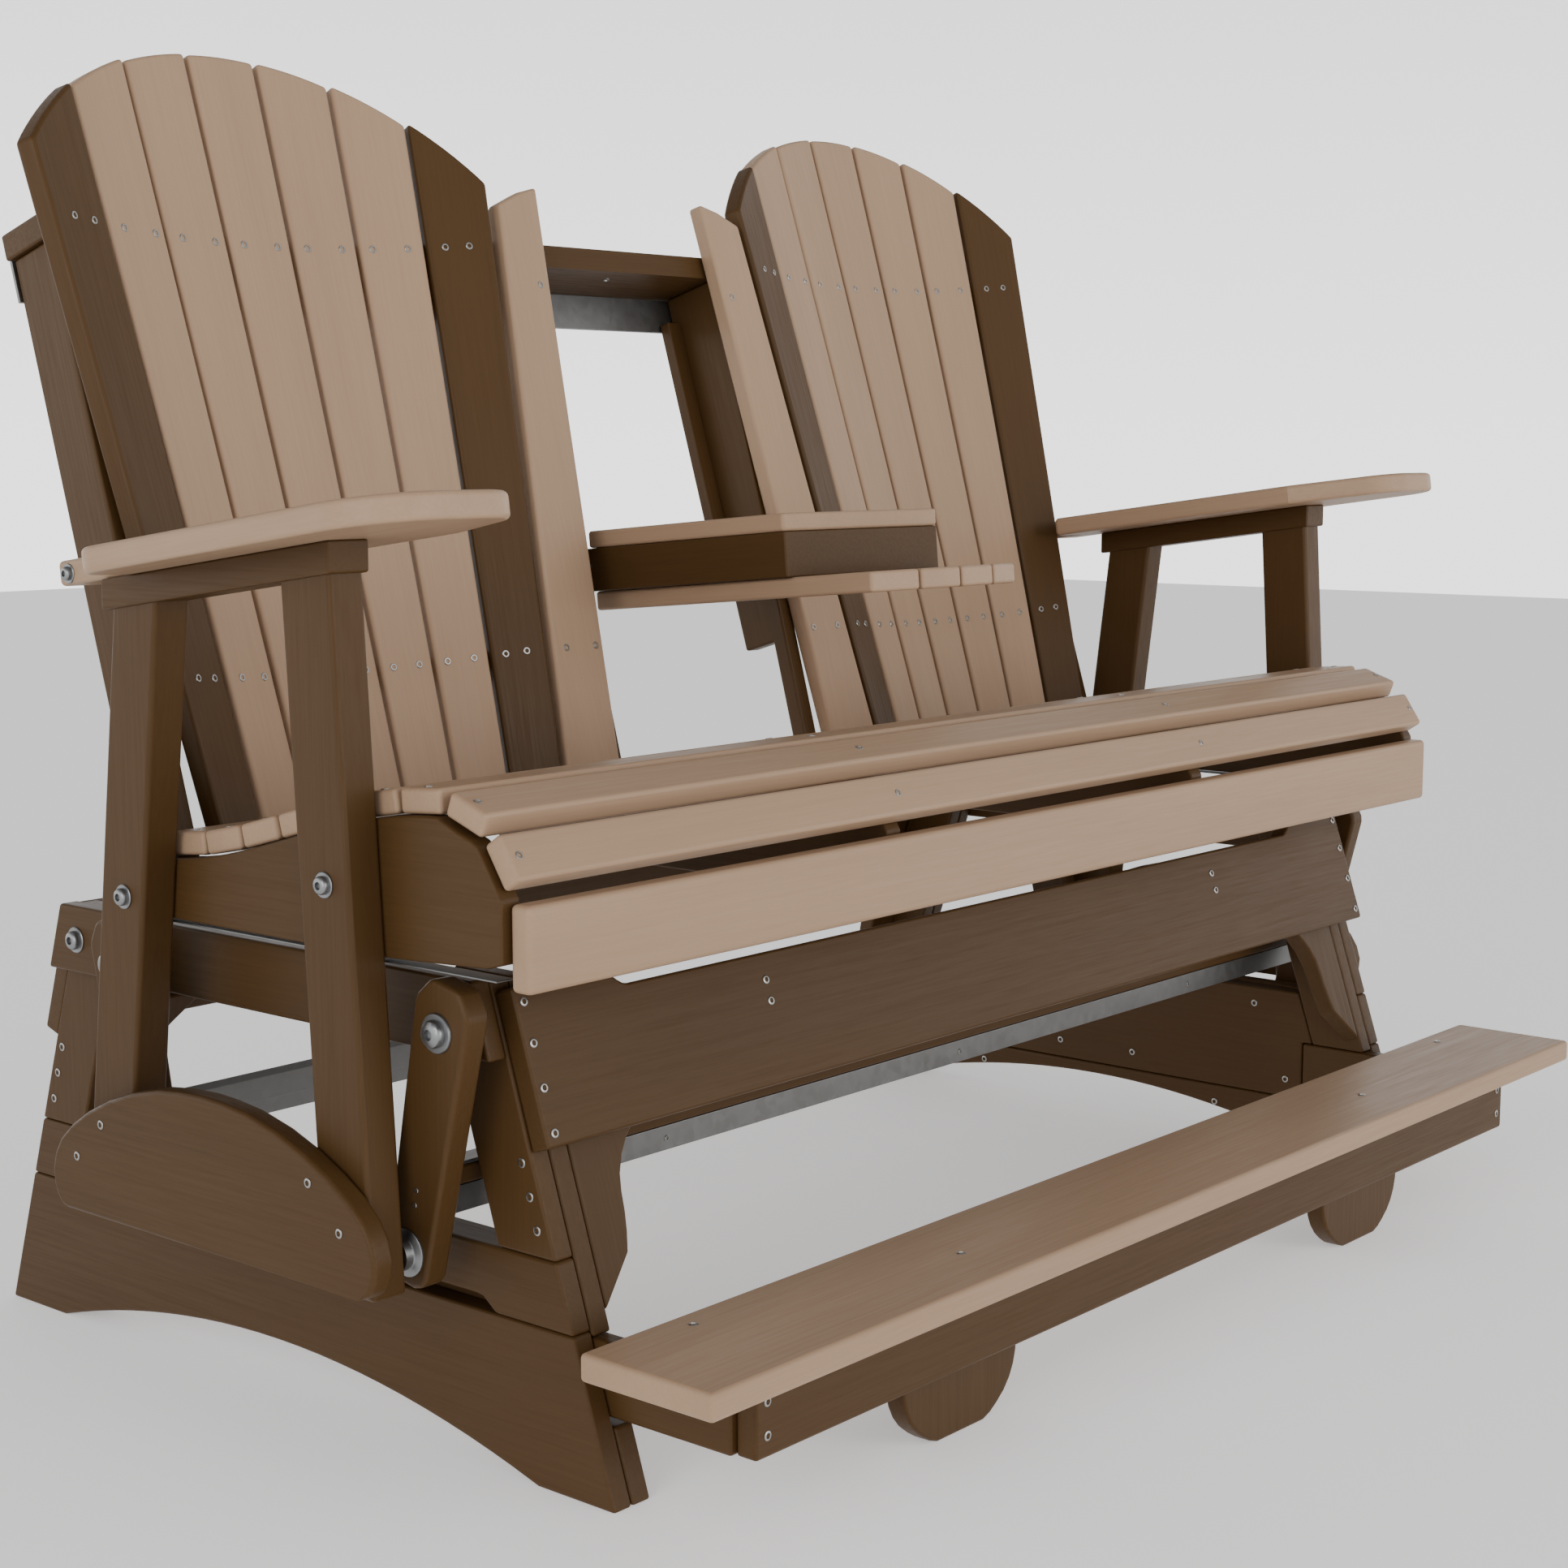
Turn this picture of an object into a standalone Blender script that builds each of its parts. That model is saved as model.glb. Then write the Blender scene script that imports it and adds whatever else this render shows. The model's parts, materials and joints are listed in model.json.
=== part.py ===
"""Two-seat glider swing with a footrest and a flip-up centre console, built from poly lumber boards.

Blender 4.5, metres, +Z up.  The bench is as wide as X, it faces -Y, and its base stands on Z = 0.
Everything is mirrored about X = 0, so each side piece is made by a loop over the two sides.
Depths are drawn from the middle of the base's feet; at the end the whole glider is set back so
that the middle of its full depth, footrest included, lies at Y = 0.
"""

import math

import bmesh
import bpy
from mathutils import Matrix, Vector

# ---------------------------------------------------------------- driving dimensions
GAP = 0.0004                 # clearance left between neighbouring pieces
BOARD = 0.0215               # thickness of a normal board
EDGE = 0.003                 # small rounding on every board edge

# base: two side frames, each two boards thick
BASE_OUT = 0.6935            # outer face of a side frame
BASE_IN = BASE_OUT - 2 * BOARD
FOOT_END = 0.427             # half of the base depth at the floor
FOOT_FLAT = 0.0895           # length of each foot's flat
LEG_SLOPE = 0.326            # how far a leg leans inward for each metre of height
LEG_WIDTH = 0.069            # leg width measured level
LEG_TOP = 0.424
FILLER_TOP = 0.198           # top of the boards between the two legs
ARCH_RISE = 0.050
HANGER_LOW = 0.361           # the rail that the links hang from
HANGER_TOP = 0.426
HANGER_HALF = 0.310

# front and rear cross boards, screwed on the sloping leg edges
CROSS_LOW = 0.287
CROSS_TOP = 0.414
CROSS_HALF = 0.687
NOTCH_HALF = 0.560
NOTCH_DEEP = 0.016

# footrest
REST_FRONT = -0.5555
REST_HALF = 0.6655
REST_LOW = 0.069
TREAD_LOW = 0.1373
TREAD_HALF = 0.7595
TREAD_FRONT = -0.5940
TREAD_REAR = -0.4540
TREAD_THICK = 0.024
FOOT_X = 0.365               # the two small feet under the footrest
FOOT_HALF = 0.084

# swing links: upper pivot on the base, lower pivot on the seat posts
LINK_OUT = 0.7500
LINK_THICK = 0.0250
SWING_MID = -0.066           # the links are mirrored about this depth
TOP_REACH = 0.221            # upper pivots lie this far either side of SWING_MID
LOW_REACH = 0.179
TOP_PIVOT_Z = 0.3890
LOW_PIVOT_Z = 0.1970
LINK_HEAD = 0.0325           # half width at the upper end
LINK_FOOT = 0.0255           # half width at the lower end
BAR_REACH = 0.1935           # front face of a crossbar, either side of SWING_MID
BAR_DEEP = 0.0225
BAR_LOW = 0.2465             # underside of the crossbar's batten
BAR_TOP = 0.2665
BAR_LIP = 0.2235             # lower edge of the steel lip hanging below it
STEEL = 0.0030

# seat side frames
POST_IN = 0.7636
POST_OUT = 0.7996
POST_WIDTH = 0.0625
POST_TOP = 0.7590
POST_LOW = 0.1680
SUPPORT_SLOPE = 0.1339       # the arms rise toward the front
ARM_BASE = 0.7857            # underside of the armrest at ARM_FRONT_Y
ARM_FRONT_Y = -0.2287
ARM_THICK = 0.0215
PANEL_OUT = 0.8220

# seat
SEAT_BOARD_LOW = 0.4464
SEAT_SIDE_IN = 0.7420
SEAT_MID_X = 0.2654
SLAT_HALF = 0.7575
SLAT_PITCH = 0.0510
SLAT_GAP = 0.0030
FLAT_SLATS = 7
DECK_FRONT = -0.3060
DECK_REAR = DECK_FRONT + FLAT_SLATS * SLAT_PITCH

# fan backs
RECLINE = math.radians(16.8)
BACK_X = 0.480               # centre of each fan
FAN_RADIUS = 0.745
BACK_Y = 0.1262              # front face of the middle slat at the lower screw row
BACK_Z = 0.6434
ROW_STEP = 0.4335            # distance between the two screw rows along a slat
LOW_STEP = 0.0871            # angle between slats at the lower row
TOP_STEP = 0.1050            # and at the upper row
BACK_TOP = 1.2467
TOP_RADIUS = 0.410
SLAT_SPACE = 0.0047
SLAT_LOW = 0.5090

POST_BACK_OUT = 0.7350
POST_BACK_IN = 0.1520
OUTER_POST_FRONT = -0.0145   # depths measured square to the slats, from the middle slat's face
INNER_POST_FRONT = -0.0290
POST_BACK_REAR = 0.0470
STOP_REACH = 0.0200          # the console stops stand this far in from the middle posts
STOP_THICK = 0.0110
STOP_TOP = 0.9955
WING_FACE = -0.0510
CAP_THICK = 0.0250
CAP_HALF = 0.7400
CAP_REAR = 0.0525
CAP_MID_Z = 1.0584

# centre console
HINGE_Y = 0.1520
HINGE_Z = 0.7320
TRAY_SLOPE = 0.0870
TRAY_HALF = 0.1285

UP = Vector((0.0, math.sin(RECLINE), math.cos(RECLINE)))
BACKWARD = Vector((0.0, math.cos(RECLINE), -math.sin(RECLINE)))
SIDES = (("left", -1), ("right", 1))

COLOURS = {
    "tan": ((0.43, 0.31, 0.21, 1.0), 0.55, 0.0),
    "brown": ((0.085, 0.050, 0.027, 1.0), 0.55, 0.0),
    "steel": ((0.33, 0.34, 0.35, 1.0), 0.40, 1.0),
}


# ---------------------------------------------------------------- scene and materials
def clear_scene():
    for obj in list(bpy.data.objects):
        bpy.data.objects.remove(obj, do_unlink=True)


def make_collection(name):
    collection = bpy.data.collections.new(name)
    bpy.context.scene.collection.children.link(collection)
    return collection


def material_for(node, kind):
    colour, roughness, metallic = COLOURS[kind]
    material = bpy.data.materials.new(f"{node}_{kind}")
    material.use_nodes = True
    shader = material.node_tree.nodes["Principled BSDF"]
    shader.inputs["Base Color"].default_value = colour
    shader.inputs["Roughness"].default_value = roughness
    shader.inputs["Metallic"].default_value = metallic
    return material


# ---------------------------------------------------------------- outlines
def arc(centre, radius, start, end, steps):
    """Points on a circle from start to end, in degrees."""
    points = []
    for i in range(steps + 1):
        angle = math.radians(start + (end - start) * i / steps)
        points.append((centre[0] + radius * math.cos(angle), centre[1] + radius * math.sin(angle)))
    return points


def mirrored(outline):
    """An outline reflected left to right, still in order round the piece."""
    return [(-u, v) for u, v in reversed(outline)]


def rectangle(u0, u1, v0, v1):
    return [(u0, v0), (u1, v0), (u1, v1), (u0, v1)]


# ---------------------------------------------------------------- placing boards
def facing_side(x):
    """Board plane to world: outline (u, v) is (Y, Z) and the thickness runs along X."""
    return Matrix(((0, 0, 1, x), (1, 0, 0, 0), (0, 1, 0, 0), (0, 0, 0, 1)))


def facing_front(y):
    """Outline (u, v) is (X, Z) and the thickness runs along Y."""
    return Matrix(((1, 0, 0, 0), (0, 0, -1, y), (0, 1, 0, 0), (0, 0, 0, 1)))


def lying_flat(z):
    """Outline (u, v) is (X, Y) and the thickness runs along Z."""
    return Matrix.Translation((0, 0, z))


def tilted(origin, across, along):
    """Outline u runs along 'across', v along 'along', thickness square to both."""
    across = across.normalized()
    along = along.normalized()
    normal = across.cross(along)
    frame = Matrix((across, along, normal)).transposed().to_4x4()
    return Matrix.Translation(origin) @ frame


def outline_mesh(name, outline, thickness):
    """A flat board cut to an outline, centred on its own plane."""
    curve = bpy.data.curves.new(name, "CURVE")
    curve.dimensions = "2D"
    curve.fill_mode = "BOTH"
    curve.extrude = thickness / 2
    spline = curve.splines.new("POLY")
    spline.points.add(len(outline) - 1)
    for point, (u, v) in zip(spline.points, outline):
        point.co = (u, v, 0.0, 1.0)
    spline.use_cyclic_u = True
    carrier = bpy.data.objects.new(name, curve)
    bpy.context.scene.collection.objects.link(carrier)
    mesh = bpy.data.meshes.new_from_object(carrier)
    bpy.data.objects.remove(carrier, do_unlink=True)
    bpy.data.curves.remove(curve)
    return mesh


def board(name, outline, thickness, place, kind, edge=EDGE, parent=None, collection=None):
    """One board: cut to its outline, put in place and given softened edges."""
    mesh = outline_mesh(name, outline, thickness)
    mesh.transform(place)
    mesh.name = name
    obj = bpy.data.objects.new(name, mesh)
    (collection or PARTS).objects.link(obj)
    tidy_mesh(mesh)
    if kind:
        mesh.materials.clear()
        mesh.materials.append(material_for(name, kind))
    if edge:
        bevel = obj.modifiers.new("soft edges", "BEVEL")
        bevel.width = edge
        bevel.segments = 1
        bevel.limit_method = "ANGLE"
        bevel.angle_limit = math.radians(40)
    if parent:
        keep_place_under(obj, parent)
    return obj


def tidy_mesh(mesh):
    """Join the walls to the caps, clear needless triangles and point the faces outward."""
    bm = bmesh.new()
    bm.from_mesh(mesh)
    bmesh.ops.remove_doubles(bm, verts=bm.verts, dist=0.00005)
    bmesh.ops.dissolve_limit(bm, angle_limit=0.001, verts=bm.verts, edges=bm.edges)
    bmesh.ops.recalc_face_normals(bm, faces=bm.faces)
    bm.to_mesh(mesh)
    bm.free()


def keep_place_under(obj, parent):
    obj.parent = parent
    obj.matrix_parent_inverse = parent.matrix_world.inverted()


def joint_empty(name, location):
    empty = bpy.data.objects.new(name, None)
    empty.location = location
    empty.empty_display_size = 0.05
    PARTS.objects.link(empty)
    bpy.context.view_layer.update()
    return empty


def union(target, *others):
    """Join overlapping solids into the target as one body."""
    combine(target, "UNION", others)


def combine(target, operation, others):
    for other in others:
        boolean = target.modifiers.new(operation.lower(), "BOOLEAN")
        boolean.operation = operation
        boolean.solver = "EXACT"
        boolean.object = other
        other.hide_render = True
        other.display_type = "WIRE"


def helper(name, outline, thickness, place, edge=0.0):
    return board(name, outline, thickness, place, None, edge, collection=CUTTERS)


def cylinder_x(name, x0, x1, y, z, radius, segments=24):
    """A round bar along X, as a cutter or a part to join."""
    mesh = bpy.data.meshes.new(name)
    bm = bmesh.new()
    bmesh.ops.create_cone(bm, cap_ends=True, segments=segments, radius1=radius, radius2=radius,
                          depth=abs(x1 - x0))
    bmesh.ops.rotate(bm, verts=bm.verts, matrix=Matrix.Rotation(math.pi / 2, 3, "Y"))
    bmesh.ops.translate(bm, verts=bm.verts, vec=((x0 + x1) / 2, y, z))
    bm.to_mesh(mesh)
    bm.free()
    obj = bpy.data.objects.new(name, mesh)
    CUTTERS.objects.link(obj)
    obj.hide_render = True
    obj.display_type = "WIRE"
    return obj


# ---------------------------------------------------------------- base
def leg_edge(z):
    """Depth of the base's sloping front edge at height z."""
    return -FOOT_END + LEG_SLOPE * z


def arch_points(steps=10):
    """Underside of the bottom rail between the two feet, front to rear."""
    half = FOOT_END - FOOT_FLAT
    return [(-half + 2 * half * i / steps, ARCH_RISE * (1 - (2 * i / steps - 1) ** 2))
            for i in range(steps + 1)]


def frame_outline():
    """A side frame in one outline: arched rail, boards between the legs, and two legs."""
    feet = [(-FOOT_END, 0.0)] + arch_points() + [(FOOT_END, 0.0)]
    rear_leg = [(-leg_edge(LEG_TOP), LEG_TOP), (-leg_edge(LEG_TOP) - LEG_WIDTH, LEG_TOP)]
    inner = -leg_edge(FILLER_TOP) - LEG_WIDTH
    valley = [(inner, FILLER_TOP), (-inner, FILLER_TOP)]
    front_leg = [(leg_edge(LEG_TOP) + LEG_WIDTH, LEG_TOP), (leg_edge(LEG_TOP), LEG_TOP)]
    return feet + rear_leg + valley + front_leg


def side_frames():
    """A-frames two boards thick.  The inner board is notched at the front for the footrest arm."""
    notch = rectangle(-0.4500, -0.3000, REST_LOW - 0.0005, TREAD_LOW - 0.0040)
    for side, sign in SIDES:
        middle = sign * (BASE_IN + BASE_OUT) / 2
        frame = board(f"side_frame_{side}", frame_outline(), BASE_OUT - BASE_IN, facing_side(middle),
                      "brown", 0.0)
        inner = sign * (BASE_IN + BOARD / 2 - 0.0005)
        slot = helper(f"cut_arm_slot_{side}", notch, BOARD + 0.0010, facing_side(inner))
        combine(frame, "DIFFERENCE", [slot])


def hanger_rails():
    """The thick upper rails that carry the link pivots, outside the legs."""
    low, top = HANGER_HALF, HANGER_HALF - LEG_SLOPE * (HANGER_TOP - HANGER_LOW)
    outline = [(-low, HANGER_LOW), (low, HANGER_LOW), (top, HANGER_TOP), (-top, HANGER_TOP)]
    for side, sign in SIDES:
        x = sign * (BASE_OUT + GAP + BOARD / 2)
        board(f"hanger_rail_{side}", outline, BOARD - GAP, facing_side(x), "brown")


def sloping_front(offset, end):
    """Frame for boards that lie on the legs' sloping edge; end is -1 for front, 1 for rear."""
    along = Vector((0.0, -end * LEG_SLOPE, 1.0)).normalized()
    across = Vector((1.0, 0.0, 0.0))
    outward = Vector((0.0, end * 1.0, LEG_SLOPE)).normalized()
    origin = Vector((0.0, end * FOOT_END, 0.0)) + outward * offset
    return tilted(origin, across, along)


def cross_outline():
    """The cross board: full height at the ends, a shallow notch with eased ends between."""
    scale = math.hypot(1.0, LEG_SLOPE)
    low = CROSS_LOW * scale
    top = CROSS_TOP * scale
    ease = NOTCH_DEEP
    dip = [(NOTCH_HALF + ease, top)] + arc((NOTCH_HALF, top), ease, -20, -90, 4)
    left = [(-u, v) for u, v in reversed(dip)]
    return [(-CROSS_HALF, low), (CROSS_HALF, low), (CROSS_HALF, top)] + dip + left + [(-CROSS_HALF, top)]


def brace_outline(sign):
    """Knee brace: straight against the leg, hollowed on its inner edge, pointed below."""
    scale = math.hypot(1.0, LEG_SLOPE)
    x_leg = BASE_IN - GAP
    low, mid, high = 0.150 * scale, 0.188 * scale, (CROSS_LOW + 0.030) * scale
    hollow = [(0.6097, mid), (0.6030, 0.212 * scale), (0.6000, 0.236 * scale), (0.5905, 0.262 * scale),
              (0.5695, 0.285 * scale), (0.5400, 0.305 * scale), (0.5250, high)]
    points = [(x_leg, high), (x_leg, low)] + hollow
    return [(sign * u, v) for u, v in points]


def cross_members():
    """Front and rear cross boards, each with a knee brace at both ends."""
    for end_name, end in (("front", -1), ("rear", 1)):
        place = sloping_front(GAP + BOARD / 2, end)
        cross = board(f"cross_board_{end_name}", cross_outline(), BOARD, place, "brown")
        for side, sign in SIDES:
            behind = sloping_front(-BOARD / 2 + 0.0006, end)
            brace = helper(f"cut_brace_{end_name}_{side}", brace_outline(sign), BOARD, behind)
            union(cross, brace)


def footrest():
    """Tread, front board with its two feet, and two arms that reach back into the side frames."""
    tread = rectangle(-TREAD_HALF, TREAD_HALF, TREAD_FRONT, TREAD_REAR)
    board("footrest_tread", tread, TREAD_THICK, lying_flat(TREAD_LOW + TREAD_THICK / 2), "tan", 0.005)
    front = rectangle(-REST_HALF, REST_HALF, REST_LOW, TREAD_LOW - GAP)
    face = board("footrest_board", front, BOARD, facing_front(REST_FRONT + BOARD / 2), "brown")
    for side, sign in SIDES:
        half = FOOT_HALF
        low = [(-half, TREAD_LOW - 0.004), (-half, 0.062), (-half * 0.95, 0.035), (-half * 0.72, 0.010),
               (-half * 0.42, 0.0)]
        outline = [(sign * FOOT_X + u, v) for u, v in low + mirrored(low)]
        foot = helper(f"cut_foot_{side}", outline, BOARD, facing_front(REST_FRONT + 1.5 * BOARD - 0.0004))
        union(face, foot)
        arm = rectangle(REST_FRONT + BOARD + GAP, -0.3006, REST_LOW, TREAD_LOW - 0.0045)
        x = sign * (BASE_IN + BOARD / 2 - 0.0003)
        board(f"footrest_arm_{side}", arm, BOARD - 0.0010, facing_side(x), "brown")


# ---------------------------------------------------------------- swing links
def link_outline(end):
    """Tapered link with clipped upper corners; end is -1 for front, 1 for rear."""
    top = Vector((end * TOP_REACH, TOP_PIVOT_Z))
    low = Vector((end * LOW_REACH, LOW_PIVOT_Z))
    along = (top - low).normalized()
    across = Vector((along.y, -along.x))
    shape = [(top, LINK_HEAD, 0.018), (top, LINK_HEAD * 0.72, 0.036), (top, 0.0, 0.043),
             (top, -LINK_HEAD * 0.72, 0.036), (top, -LINK_HEAD, 0.018),
             (low, -LINK_FOOT, -0.018), (low, -LINK_FOOT * 0.6, -0.029), (low, LINK_FOOT * 0.6, -0.029),
             (low, LINK_FOOT, -0.018)]
    points = [centre + across * side + along * rise for centre, side, rise in shape]
    return [(SWING_MID + p.x, p.y) for p in points]


def link(end_name, end, side, sign, yoke):
    """One hanging link with its two pivot bolts and their bearing washers."""
    top_y = SWING_MID + end * TOP_REACH
    low_y = SWING_MID + end * LOW_REACH
    tag = f"{end_name}_{side}"
    x = sign * (LINK_OUT - LINK_THICK / 2)
    link_board = board(f"link_{tag}", link_outline(end), LINK_THICK, facing_side(x), "brown", EDGE, yoke)
    rail_face = BASE_OUT + BOARD + GAP
    sunk = LINK_OUT - 0.004
    pieces = [
        cylinder_x(f"cut_bolt_{tag}", sign * sunk, sign * (LINK_OUT + 0.0085), top_y, TOP_PIVOT_Z, 0.0095, 16),
        cylinder_x(f"cut_washer_{tag}", sign * sunk, sign * (LINK_OUT + 0.003), top_y, TOP_PIVOT_Z, 0.0165),
        cylinder_x(f"cut_spacer_{tag}", sign * (rail_face + GAP), sign * (LINK_OUT - 0.020), top_y,
                   TOP_PIVOT_Z, 0.0150, 16),
        cylinder_x(f"cut_bearing_{tag}", sign * sunk, sign * (POST_IN - GAP), low_y, LOW_PIVOT_Z, 0.0180),
    ]
    union(link_board, *pieces)


def crossbar(end_name, end, yoke):
    """The bar that ties two links together: a batten held in a folded steel section."""
    half = LINK_OUT - LINK_THICK - GAP

    def at(depth):
        return SWING_MID + end * (BAR_REACH - depth)

    front, back = at(0.0), at(BAR_DEEP)
    batten = rectangle(front, at(BAR_DEEP - STEEL - GAP), BAR_LOW + GAP, BAR_TOP - STEEL - GAP)
    board(f"crossbar_batten_{end_name}", batten, 2 * half, facing_side(0.0), "brown", 0.002, yoke)
    section = [(front, BAR_TOP), (front, BAR_TOP - STEEL), (at(BAR_DEEP - STEEL), BAR_TOP - STEEL),
               (at(BAR_DEEP - STEEL), BAR_LOW), (front, BAR_LOW), (front, BAR_LIP), (at(STEEL), BAR_LIP),
               (at(STEEL), BAR_LOW - STEEL), (back, BAR_LOW - STEEL), (back, BAR_TOP)]
    board(f"crossbar_steel_{end_name}", section, 2 * half, facing_side(0.0), "steel", 0.0, yoke)


def yokes():
    """Front and rear pairs of links, each pair tied by a crossbar through the side frames."""
    for end_name, end in (("front", -1), ("rear", 1)):
        yoke = joint_empty(f"pivot_{end_name}", (0.0, SWING_MID + end * TOP_REACH, TOP_PIVOT_Z))
        for side, sign in SIDES:
            link(end_name, end, side, sign, yoke)
        crossbar(end_name, end, yoke)


# ---------------------------------------------------------------- seat side frames
def post_line(end, z):
    """Centre depth of an arm post at height z."""
    if end < 0:
        return -0.2270 + 0.0608 * (z - 0.1970)
    return 0.1005 - 0.1170 * (z - 0.1970)


def support_height(y):
    """Underside of the armrest at depth y."""
    return ARM_BASE - SUPPORT_SLOPE * (y - ARM_FRONT_Y)


def arm_posts(seat):
    """Four long posts from the arm supports down to the lower pivots."""
    for end_name, end in (("front", -1), ("rear", 1)):
        outline = []
        for z, half in ((POST_LOW, -1), (POST_LOW, 1)):
            outline.append((post_line(end, z) + half * POST_WIDTH / 2, z))
        for half in (1, -1):
            y = post_line(end, POST_TOP) + half * POST_WIDTH / 2
            outline.append((y, support_height(y) - 0.0245 - GAP))
        for side, sign in SIDES:
            x = sign * (POST_IN + POST_OUT) / 2
            board(f"arm_post_{end_name}_{side}", outline, POST_OUT - POST_IN, facing_side(x), "brown",
                  0.004, seat)


def half_moon_panels(seat):
    """Outer panels that tie each pair of posts together at the lower pivots."""
    low = 0.178
    half = 0.2215
    shape = [(-half + 0.012, low), (half - 0.012, low), (half + 0.004, low + 0.012), (half + 0.0125, low + 0.036),
             (half - 0.010, low + 0.072), (0.168, 0.2735), (0.112, 0.3000), (0.056, 0.3125), (0.0, 0.3160),
             (-0.056, 0.3125), (-0.112, 0.3000), (-0.168, 0.2735), (-half + 0.010, low + 0.072),
             (-half - 0.0125, low + 0.036), (-half - 0.004, low + 0.012)]
    outline = [(SWING_MID - 0.003 + u, v) for u, v in shape]
    for side, sign in SIDES:
        thick = PANEL_OUT - POST_OUT - GAP
        x = sign * (PANEL_OUT - thick / 2)
        board(f"half_moon_panel_{side}", outline, thick, facing_side(x), "brown", 0.004, seat)


def arm_supports(seat):
    """Boards on edge under the armrests, on top of the posts."""
    front, rear = ARM_FRONT_Y, 0.0770
    outline = [(front, support_height(front) - 0.0245), (rear, support_height(rear) - 0.0245),
               (rear, support_height(rear) - GAP), (front, support_height(front) - GAP)]
    for side, sign in SIDES:
        board(f"arm_support_{side}", outline, 0.0425, facing_side(sign * 0.7818), "brown", EDGE, seat)


def armrest_outline():
    """Paddle-shaped armrest in plan, as (distance from centre, depth along the arm)."""
    return [(0.6790, 0.0950), (0.6790, -0.2150), (0.6700, -0.2500), (0.6680, -0.3150), (0.6850, -0.3520),
            (0.7200, -0.3760), (0.7650, -0.3880), (0.8100, -0.3860), (0.8450, -0.3700), (0.8660, -0.3420),
            (0.8720, -0.3050), (0.8680, -0.2300), (0.8680, -0.0100), (0.8600, 0.0500), (0.8350, 0.0920),
            (0.7950, 0.1100), (0.7000, 0.1100)]


def armrests(seat):
    """Sloping armrests, each with the small block that bolts it to the back post."""
    along = Vector((0.0, 1.0, -SUPPORT_SLOPE)).normalized()
    scale = math.hypot(1.0, SUPPORT_SLOPE)
    for side, sign in SIDES:
        points = [(sign * u, v * scale) for u, v in armrest_outline()]
        origin = Vector((0.0, 0.0, support_height(0.0) + ARM_THICK / 2))
        place = tilted(origin, Vector((1.0, 0.0, 0.0)), along)
        arm = board(f"armrest_{side}", points, ARM_THICK, place, "tan", 0.006, seat)
        block = [(sign * 0.7440, 0.0790), (sign * 0.7990, 0.0790), (sign * 0.7990, 0.1530),
                 (sign * 0.7440, 0.1530)]
        lower = Vector((0.0, 0.0, support_height(0.0) - 0.0085))
        union(arm, helper(f"cut_arm_block_{side}", [(u, v * scale) for u, v in block], 0.0180,
                          tilted(lower, Vector((1.0, 0.0, 0.0)), along), EDGE))


# ---------------------------------------------------------------- seat
def deck_height(y):
    """Underside of the flat seat slats: low at the back, rising to the front in a soft S."""
    t = (DECK_REAR - y) / (DECK_REAR - DECK_FRONT)
    return 0.5020 + 0.0680 * (3 * t * t - 2 * t ** 3) ** 0.92


def seat_boards(seat):
    """Contoured boards on edge that carry the slats: two at the sides, two near the middle."""
    steps = 14
    low = SEAT_BOARD_LOW
    top = []
    for i in range(steps + 1):
        y = DECK_REAR + (DECK_FRONT - DECK_REAR) * i / steps
        top.append((y, deck_height(y) - 0.0012))
    nose = [(-0.3300, 0.5585), (-0.3500, 0.5515), (-0.3640, 0.5310), (-0.3780, 0.5090)]
    outline = [(-0.3780, 0.4580), (-0.2310, low), (DECK_REAR + 0.09, low), (DECK_REAR + 0.09, 0.500)]
    outline += top + nose
    for side, sign in SIDES:
        side_x = sign * (SEAT_SIDE_IN + POST_IN - GAP) / 2
        board(f"seat_board_outer_{side}", outline, POST_IN - GAP - SEAT_SIDE_IN, facing_side(side_x), "brown",
              0.002, seat)
        board(f"seat_board_inner_{side}", outline, BOARD, facing_side(sign * SEAT_MID_X), "brown", 0.002, seat)


def slat(name, front, rear, seat, thickness=BOARD, kind="tan", half=SLAT_HALF, edge=0.004):
    """A board across the seat whose underside runs from 'front' to 'rear', each (y, z)."""
    low = Vector((front[0], front[1]))
    high = Vector((rear[0], rear[1]))
    run = (high - low).normalized()
    lift = Vector((-run.y, run.x)) * thickness
    outline = [(low.x, low.y), (high.x, high.y), (high.x + lift.x, high.y + lift.y),
               (low.x + lift.x, low.y + lift.y)]
    return board(name, outline, 2 * half, facing_side(0.0), kind, edge, seat)


def seat_slats(seat):
    """Seven flat slats, two that roll over the front edge, and the upright apron."""
    for i in range(FLAT_SLATS):
        rear = DECK_REAR - i * SLAT_PITCH - SLAT_GAP / 2
        front = rear - SLAT_PITCH + SLAT_GAP
        slat(f"seat_slat_{i + 1}", (front, deck_height(front)), (rear, deck_height(rear)), seat)
    slat("seat_slat_8", (-0.3500, 0.5550), (-0.3085, 0.5700), seat)
    slat("seat_slat_9", (-0.3760, 0.5150), (-0.3530, 0.5500), seat)
    apron = rectangle(-0.4006, -0.3790, 0.4353, 0.5064)
    board("seat_apron", apron, 2 * 0.7550, facing_side(0.0), "tan", 0.005, seat)


# ---------------------------------------------------------------- fan backs
def fan_angle(index, along):
    """Angle of slat 'index' (0 is the middle) round the fan at a distance along the slat."""
    return index * (LOW_STEP + (TOP_STEP - LOW_STEP) * along / ROW_STEP)


def back_point(across, along, depth=0.0):
    """World place on a back: across from the fan's centre, up the slats, and behind their face."""
    base = Vector((BACK_X + across, BACK_Y, BACK_Z))
    return base + UP * along + BACKWARD * depth


def along_at(z):
    return (z - BACK_Z) / UP.z


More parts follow.
